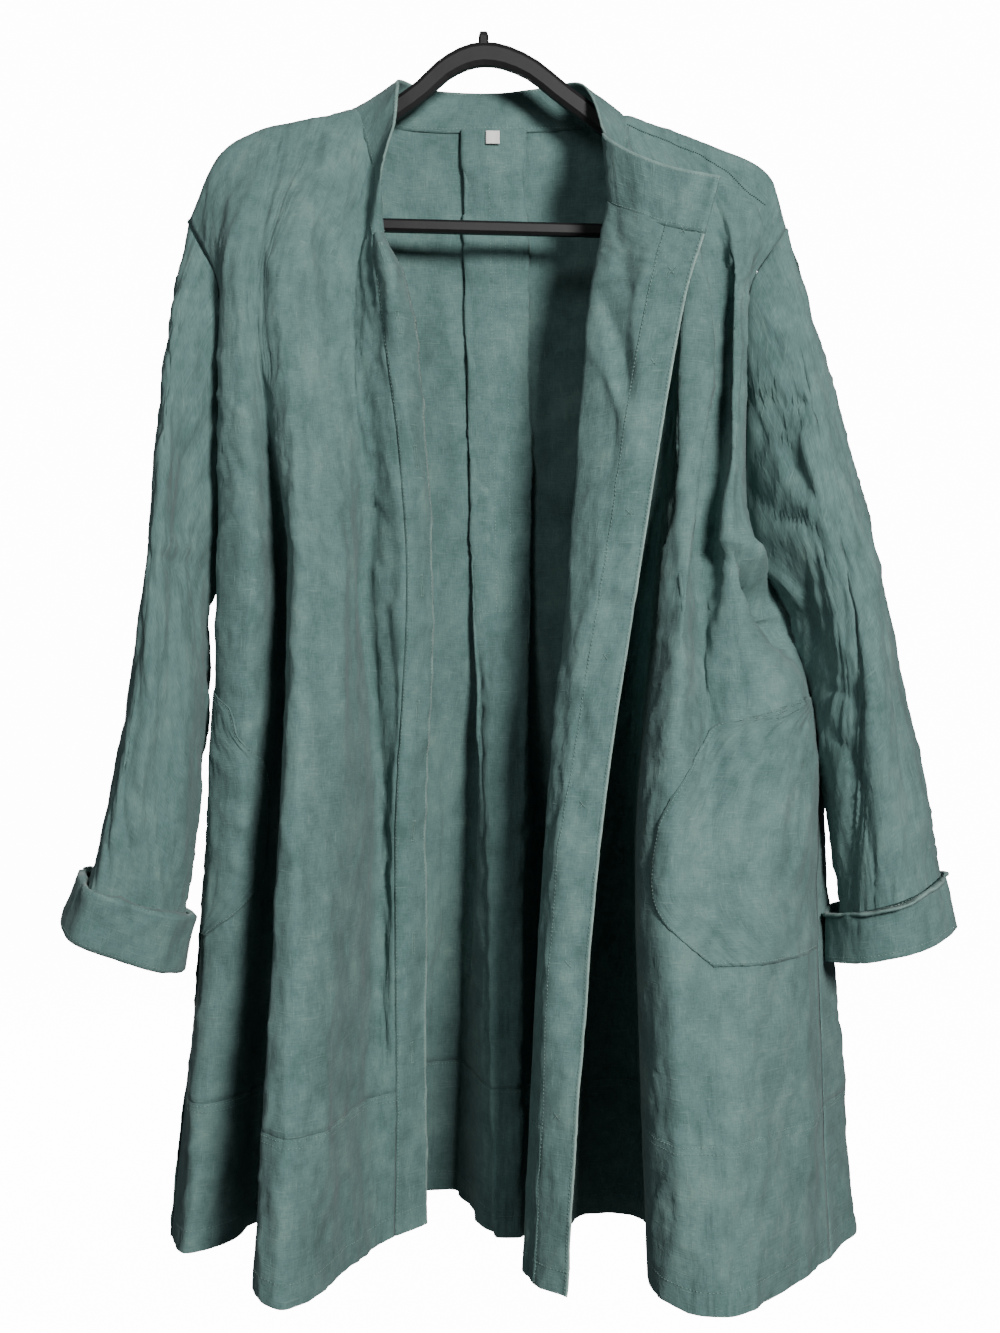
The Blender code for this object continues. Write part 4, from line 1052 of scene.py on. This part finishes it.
RIGHT_SLEEVE_CREASES = (
    (-5.6, 8, ((186, 400), (184, 480), (178, 560), (172, 640))),
    (4.8, 8, ((170, 420), (166, 500), (160, 590), (154, 660))),
    (4.2, 6, ((153, 535), (176, 545), (203, 550))),
    (-4.2, 6, ((152, 552), (176, 562), (204, 568))),
    (-5.8, 7, ((140, 640), (134, 720), (124, 790), (112, 850))),
    (5.8, 8, ((156, 640), (148, 720), (138, 800), (132, 880))),
    (-4.5, 8, ((172, 680), (166, 760), (160, 830), (166, 890))),
    (3.8, 8, ((188, 640), (186, 740), (182, 830), (184, 900))),
    (-3.5, 6, ((205, 470), (194, 500), (180, 520))),
    (3.5, 7, ((200, 300), (192, 360), (186, 430))),
    (-3.2, 6, ((126, 780), (140, 800), (158, 806))),
)
sleeve_right = sleeve("right", SLEEVE_RIGHT, CUFF_RIGHT, FRONT_RIGHT, BACK[0], RIGHT_SLEEVE_CREASES, 101.0)
LEFT_SLEEVE_CREASES = (
    (6.0, 5, ((805, 291), (812, 337), (828, 391), (843, 444), (858, 490), (866, 559), (870, 617), (872, 697),
              (876, 780), (886, 870), (886, 912))),
    (-5.0, 6, ((795, 320), (812, 400), (828, 460), (842, 520), (852, 580), (858, 650), (862, 720))),
    (3.0, 4, ((736, 391), (766, 388), (800, 392), (822, 400))),
    (-4.0, 4, ((736, 398), (766, 396), (800, 401), (828, 412))),
    (-3.2, 4, ((761, 406), (763, 425), (762, 438), (790, 428), (818, 424))),
    (3.0, 4, ((752, 408), (754, 430), (758, 448))),
    (-5.0, 6, ((785, 444), (798, 466), (812, 490), (828, 512), (840, 540), (846, 590))),
    (4.2, 6, ((772, 452), (790, 484), (806, 508), (822, 534), (826, 570))),
    (-4.0, 4, ((732, 479), (746, 490), (756, 498), (778, 504))),
    (-3.2, 4, ((740, 460), (752, 482), (762, 500))),
    (6.0, 7, ((728, 541), (752, 544), (772, 566), (798, 588), (812, 606), (806, 648))),
    (-4.5, 5, ((752, 506), (780, 516), (806, 520), (824, 540), (824, 566))),
    (-5.0, 5, ((806, 552), (810, 590), (816, 630), (830, 664), (846, 684))),
    (3.6, 5, ((826, 560), (830, 600), (842, 640), (858, 668))),
    (-4.0, 5, ((812, 676), (836, 690), (866, 704))),
    (3.6, 5, ((806, 690), (820, 722), (834, 752), (842, 790))),
    (-4.0, 5, ((814, 700), (830, 730), (850, 752), (866, 790), (868, 850))),
    (-4.0, 6, ((852, 760), (854, 810), (852, 860), (852, 908))),
    (4.0, 6, ((838, 770), (842, 820), (842, 870), (846, 915))),
    (-4.5, 6, ((888, 640), (896, 720), (904, 790), (906, 850), (904, 892))),
    (3.6, 6, ((900, 680), (914, 760), (924, 830), (930, 868))),
    (3.0, 5, ((872, 560), (886, 620), (892, 680))),
)
sleeve_left = sleeve("left", SLEEVE_LEFT, CUFF_LEFT, FRONT_LEFT, BACK_LEFT[-1], LEFT_SLEEVE_CREASES, 131.0)


# The cuffs: the sleeve's deep hem turned up once on the outside, 44 to 50 mm wide, edge-stitched near its
# raw side's fold and near the wrist, and loose enough to stand away from the sleeve.
def cuff(side, table, seed):
    fold = ring_points(table[0])
    centre = sum(fold, Vector()) / len(fold)
    lip = [point + (centre - point).normalized() * 2.4 + Vector((0, 0, 2.6)) for point in fold]
    low = [point + Vector((0, 0, -0.8)) for point in fold]
    top = ring_points(table[-1])
    turned = [point + (centre - point).normalized() * 2.0 + Vector((0, 0, -2.0)) for point in top]
    rings = [lip, low] + [ring_points(row) for row in table[1:]] + [turned]
    made = ring_cloth(rings, 10, [3] + [9] * (len(rings) - 3) + [2])
    fade = np.clip(made.fall / 8.0, 0, 1)
    made.shift((crumple_field(made, seed, 1.6, 1.1) + 0.4) * fade, made.normals)
    # A pale band near the cuff's raw edge: wear, and a painted highlight where the edge catches the light.
    edge = abs(made.fall[-1][None, :] - made.fall - 2.5)
    made.worn = np.clip(0.6 * np.exp(-(edge / 1.5) ** 2), 0, 1)
    piece = panel("cuff_" + side, made, (0, None), (0, None), 0.0, 1.5)
    around = [step / 12 for step in range(118)]
    stitches("cuff_%s_stitches" % side, made, [
        [(made.below(1.0, line, -8.0), line) for line in around],
        [(made.below(0.0, line, 9.0), line) for line in around]], piece, 1.0)
    return piece


cuff_right = cuff("right", CUFF_RIGHT, 151.0)
cuff_left = cuff("left", CUFF_LEFT, 161.0)


# The stand collar: a straight band about 45 mm high, edge-stitched along both its long edges. Its
# right end stands up along the placket, and its left end is turned back with the front.
COLLAR_TOP = (
    (-98, -11, -145), (-95, -12, -128), (-91, -12, -112), (-86, -13, -92), (-83, -16, -58), (-83, 3, -42),
    (-58, 40, -39), (0, 47, -40), (50, 42, -36), (78, 6, -44),
    (90, -24, -70), (95, -40, -94), (98, -49, -104), (96, -66, -112), (118, -84, -134), (148, -90, -150),
    (190, -93, -162),
)
# How far each of those points stands toward the viewer of its place in the table, in millimetres.
COLLAR_FORWARD = (34, 34, 32, 24, 12, 0, 0, 0, 0, 0, 0, 0, 0, 2, 10, 18, 26)
COLLAR_ROWS, COLLAR_FINE = 14, 9
collar_shares = [step / COLLAR_ROWS for step in range(COLLAR_ROWS + 1)]
collar_end = len(COLLAR_TOP) - 1


def collar_rows():
    low = [Vector(right.at(0.0, line)) for line in range(6)]
    low += [fold_point(BACK[-1], 0.0), Vector((1, 43, -75)), fold_point(BACK_LEFT[0], 0.0)]
    low += [Vector(left.at(0.0, line)) for line in range(7, -1, -1)]
    bottom = through(low, COLLAR_FINE)
    top = through([Vector(point) - Vector((0, shift, 0)) for point, shift in zip(COLLAR_TOP, COLLAR_FORWARD)],
                  COLLAR_FINE)
    rows = []
    for share in collar_shares:
        rows.append([(a + (a - b).normalized() * 2.0).lerp(b, share) for a, b in zip(bottom, top)])
    return list(reversed(rows))


collar_cloth = Cloth(collar_rows(), collar_shares,
                     [step / COLLAR_FINE for step in range(collar_end * COLLAR_FINE + 1)])
collar_rim = np.minimum(np.minimum(collar_cloth.fall, collar_cloth.fall[-1][None, :] - collar_cloth.fall),
                        np.minimum(collar_cloth.run, collar_cloth.run[:, [-1]] - collar_cloth.run))
collar_cloth.shift(crumple_field(collar_cloth, 201.0, 0.8, 0.5)
                   + seam_field(abs(collar_rim - 3.0), 203.0, 0.4, 1.3, 0.35), collar_cloth.normals)
# The collar's top edge is marked pale: wear, and a painted highlight on its lip.
collar_cloth.worn = np.clip(0.6 * np.exp(-(collar_cloth.fall / 1.5) ** 2), 0, 1)
collar = panel("collar", collar_cloth, (0, None), (0, None), 0.0, 2.0)
along_collar = [collar_end * step / 300 for step in range(301)]
stitches("collar_stitches", collar_cloth, [
    [(collar_cloth.below(0.0, line, 2.4), line) for line in along_collar],
    [(collar_cloth.below(1.0, line, -4.0), line) for line in along_collar]], collar, 1.2)


# The buttons: eight, 15 mm across, polished, on the right side of the left placket. Two small knots of
# thread stand for the sewing, and no holes are made under them.
BUTTON_THICK = 2.4
BUTTON_PROFILE = ((6.6, 0.0), (7.3, 0.35), (7.5, 0.9), (7.5, 1.5), (7.2, 2.1), (6.5, 2.4), (5.6, 2.2),
                  (5.0, 1.7), (3.0, 1.5), (0.4, 1.5))
KNOT_PROFILE = ((1.5, 0.0), (1.3, 0.5), (0.6, 0.7))
button_gloss, button_shader, button_start = finish("button_gloss", 0.28)
marbled = button_start.node("ShaderNodeTexCoord", output=3).grain(420.0, 3.0)
marbled = marbled.mixed((0.03, 0.055, 0.05, 1), (0.09, 0.13, 0.115, 1))
button_gloss.node_tree.links.new(marbled.socket, button_shader.inputs["Base Color"])


def turned_disc(name, centre, normal, profile, kind, sides=40):
    """A turned shape about a normal from its profile of (radius, height) in millimetres."""
    across = normal.orthogonal().normalized()
    up = normal.cross(across)
    points = [tuple((centre + normal * height
                     + (across * math.cos(turn) + up * math.sin(turn)) * radius) * MM)
              for radius, height in profile
              for turn in [2 * math.pi * step / sides for step in range(sides)]]
    faces = []
    for ring in range(len(profile) - 1):
        for step in range(sides):
            after = (step + 1) % sides
            faces.append((ring * sides + step, ring * sides + after,
                          (ring + 1) * sides + after, (ring + 1) * sides + step))
    faces.append(tuple(reversed(range(sides))))
    faces.append(tuple(range((len(profile) - 1) * sides, len(profile) * sides)))
    mesh = bpy.data.meshes.new(name)
    mesh.from_pydata(points, [], faces)
    return placed(name, mesh, kind)


for number, share in enumerate(BUTTON_PLACES, 1):
    low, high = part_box("button_%d" % number)
    middle = (low + high) / 2 / MM
    away = Vector(left.blend(-left.toward_viewer(), share, 0.5)).normalized()
    start = middle - away * BUTTON_THICK / 2
    button = turned_disc("sewn_button_%d" % number, start, away, BUTTON_PROFILE, button_gloss)
    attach(button, "root")
    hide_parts("button_%d" % number)
    across = away.orthogonal().normalized()
    for side in (-1, 1):
        thread_centre = start + away * 1.55 + away.cross(across) * side * 1.3
        knot = turned_disc("button_%d_thread_%s" % (number, "a" if side < 0 else "b"), thread_centre, away,
                           KNOT_PROFILE, thread, 12)
        knot.parent = button


# The size label: a folded loop of white satin tape, 13 mm wide, caught in the back neck seam. It is
# left bare.
tape, tape_shader, tape_start = finish("white_tape", 0.55)
tape_weave = tape_start.node("ShaderNodeTexCoord", output=3).stretched((5200.0, 5200.0, 5200.0)).grain(1.0)
tape_tint = tape_weave.mixed((0.66, 0.66, 0.64, 1), (0.86, 0.86, 0.84, 1))
tape.node_tree.links.new(tape_tint.socket, tape_shader.inputs["Base Color"])
low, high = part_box("size_label")
LABEL_DROP = 12.2
label_rows = []
for step in range(25):
    part = step / 24
    fall = (1 - abs(part * 2 - 1)) * LABEL_DROP
    depth = 0.75 * math.cos(part * math.pi) * (0.6 + 0.4 * math.sin(part * math.pi))
    label_rows.append([Vector((x, low.y / MM + 0.5 - depth + 0.25 * math.sin(x * 0.5),
                               high.z / MM + 0.3 - fall))
                       for x in [low.x / MM + (high.x - low.x) / MM * c / 12 for c in range(13)]])
label_cloth = Cloth(label_rows, [step / 24 for step in range(25)], [c / 12 for c in range(13)])
size_label = panel("size_label", label_cloth, (0, None), (0, None), 0.0, 0.35, tape)


# The hanger: one moulding in charcoal plastic with a stub for a hook, a broad rounded arch, sloping
# arms and a bar. Its surface is faintly grained, with a soft sheen.
plastic, plastic_shader, plastic_start = finish("charcoal_plastic", 0.5)
plastic_shader.inputs["Specular IOR Level"].default_value = 0.3
plastic_place = plastic_start.node("ShaderNodeTexCoord", output=3)
moulded = plastic_place.grain(60.0, 3.0)
moulded_tint = moulded.mixed((0.009, 0.0087, 0.0095, 1), (0.016, 0.015, 0.016, 1))
plastic.node_tree.links.new(moulded_tint.socket, plastic_shader.inputs["Base Color"])
pebble = plastic_start.node("ShaderNodeBump", {}, {
    "Strength": 0.25, "Distance": 0.0003, "Height": plastic_place.grain(1400.0, 2.0)})
plastic.node_tree.links.new(pebble.socket, plastic_shader.inputs["Normal"])
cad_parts["hanger"].data.materials.clear()
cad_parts["hanger"].data.materials.append(plastic)
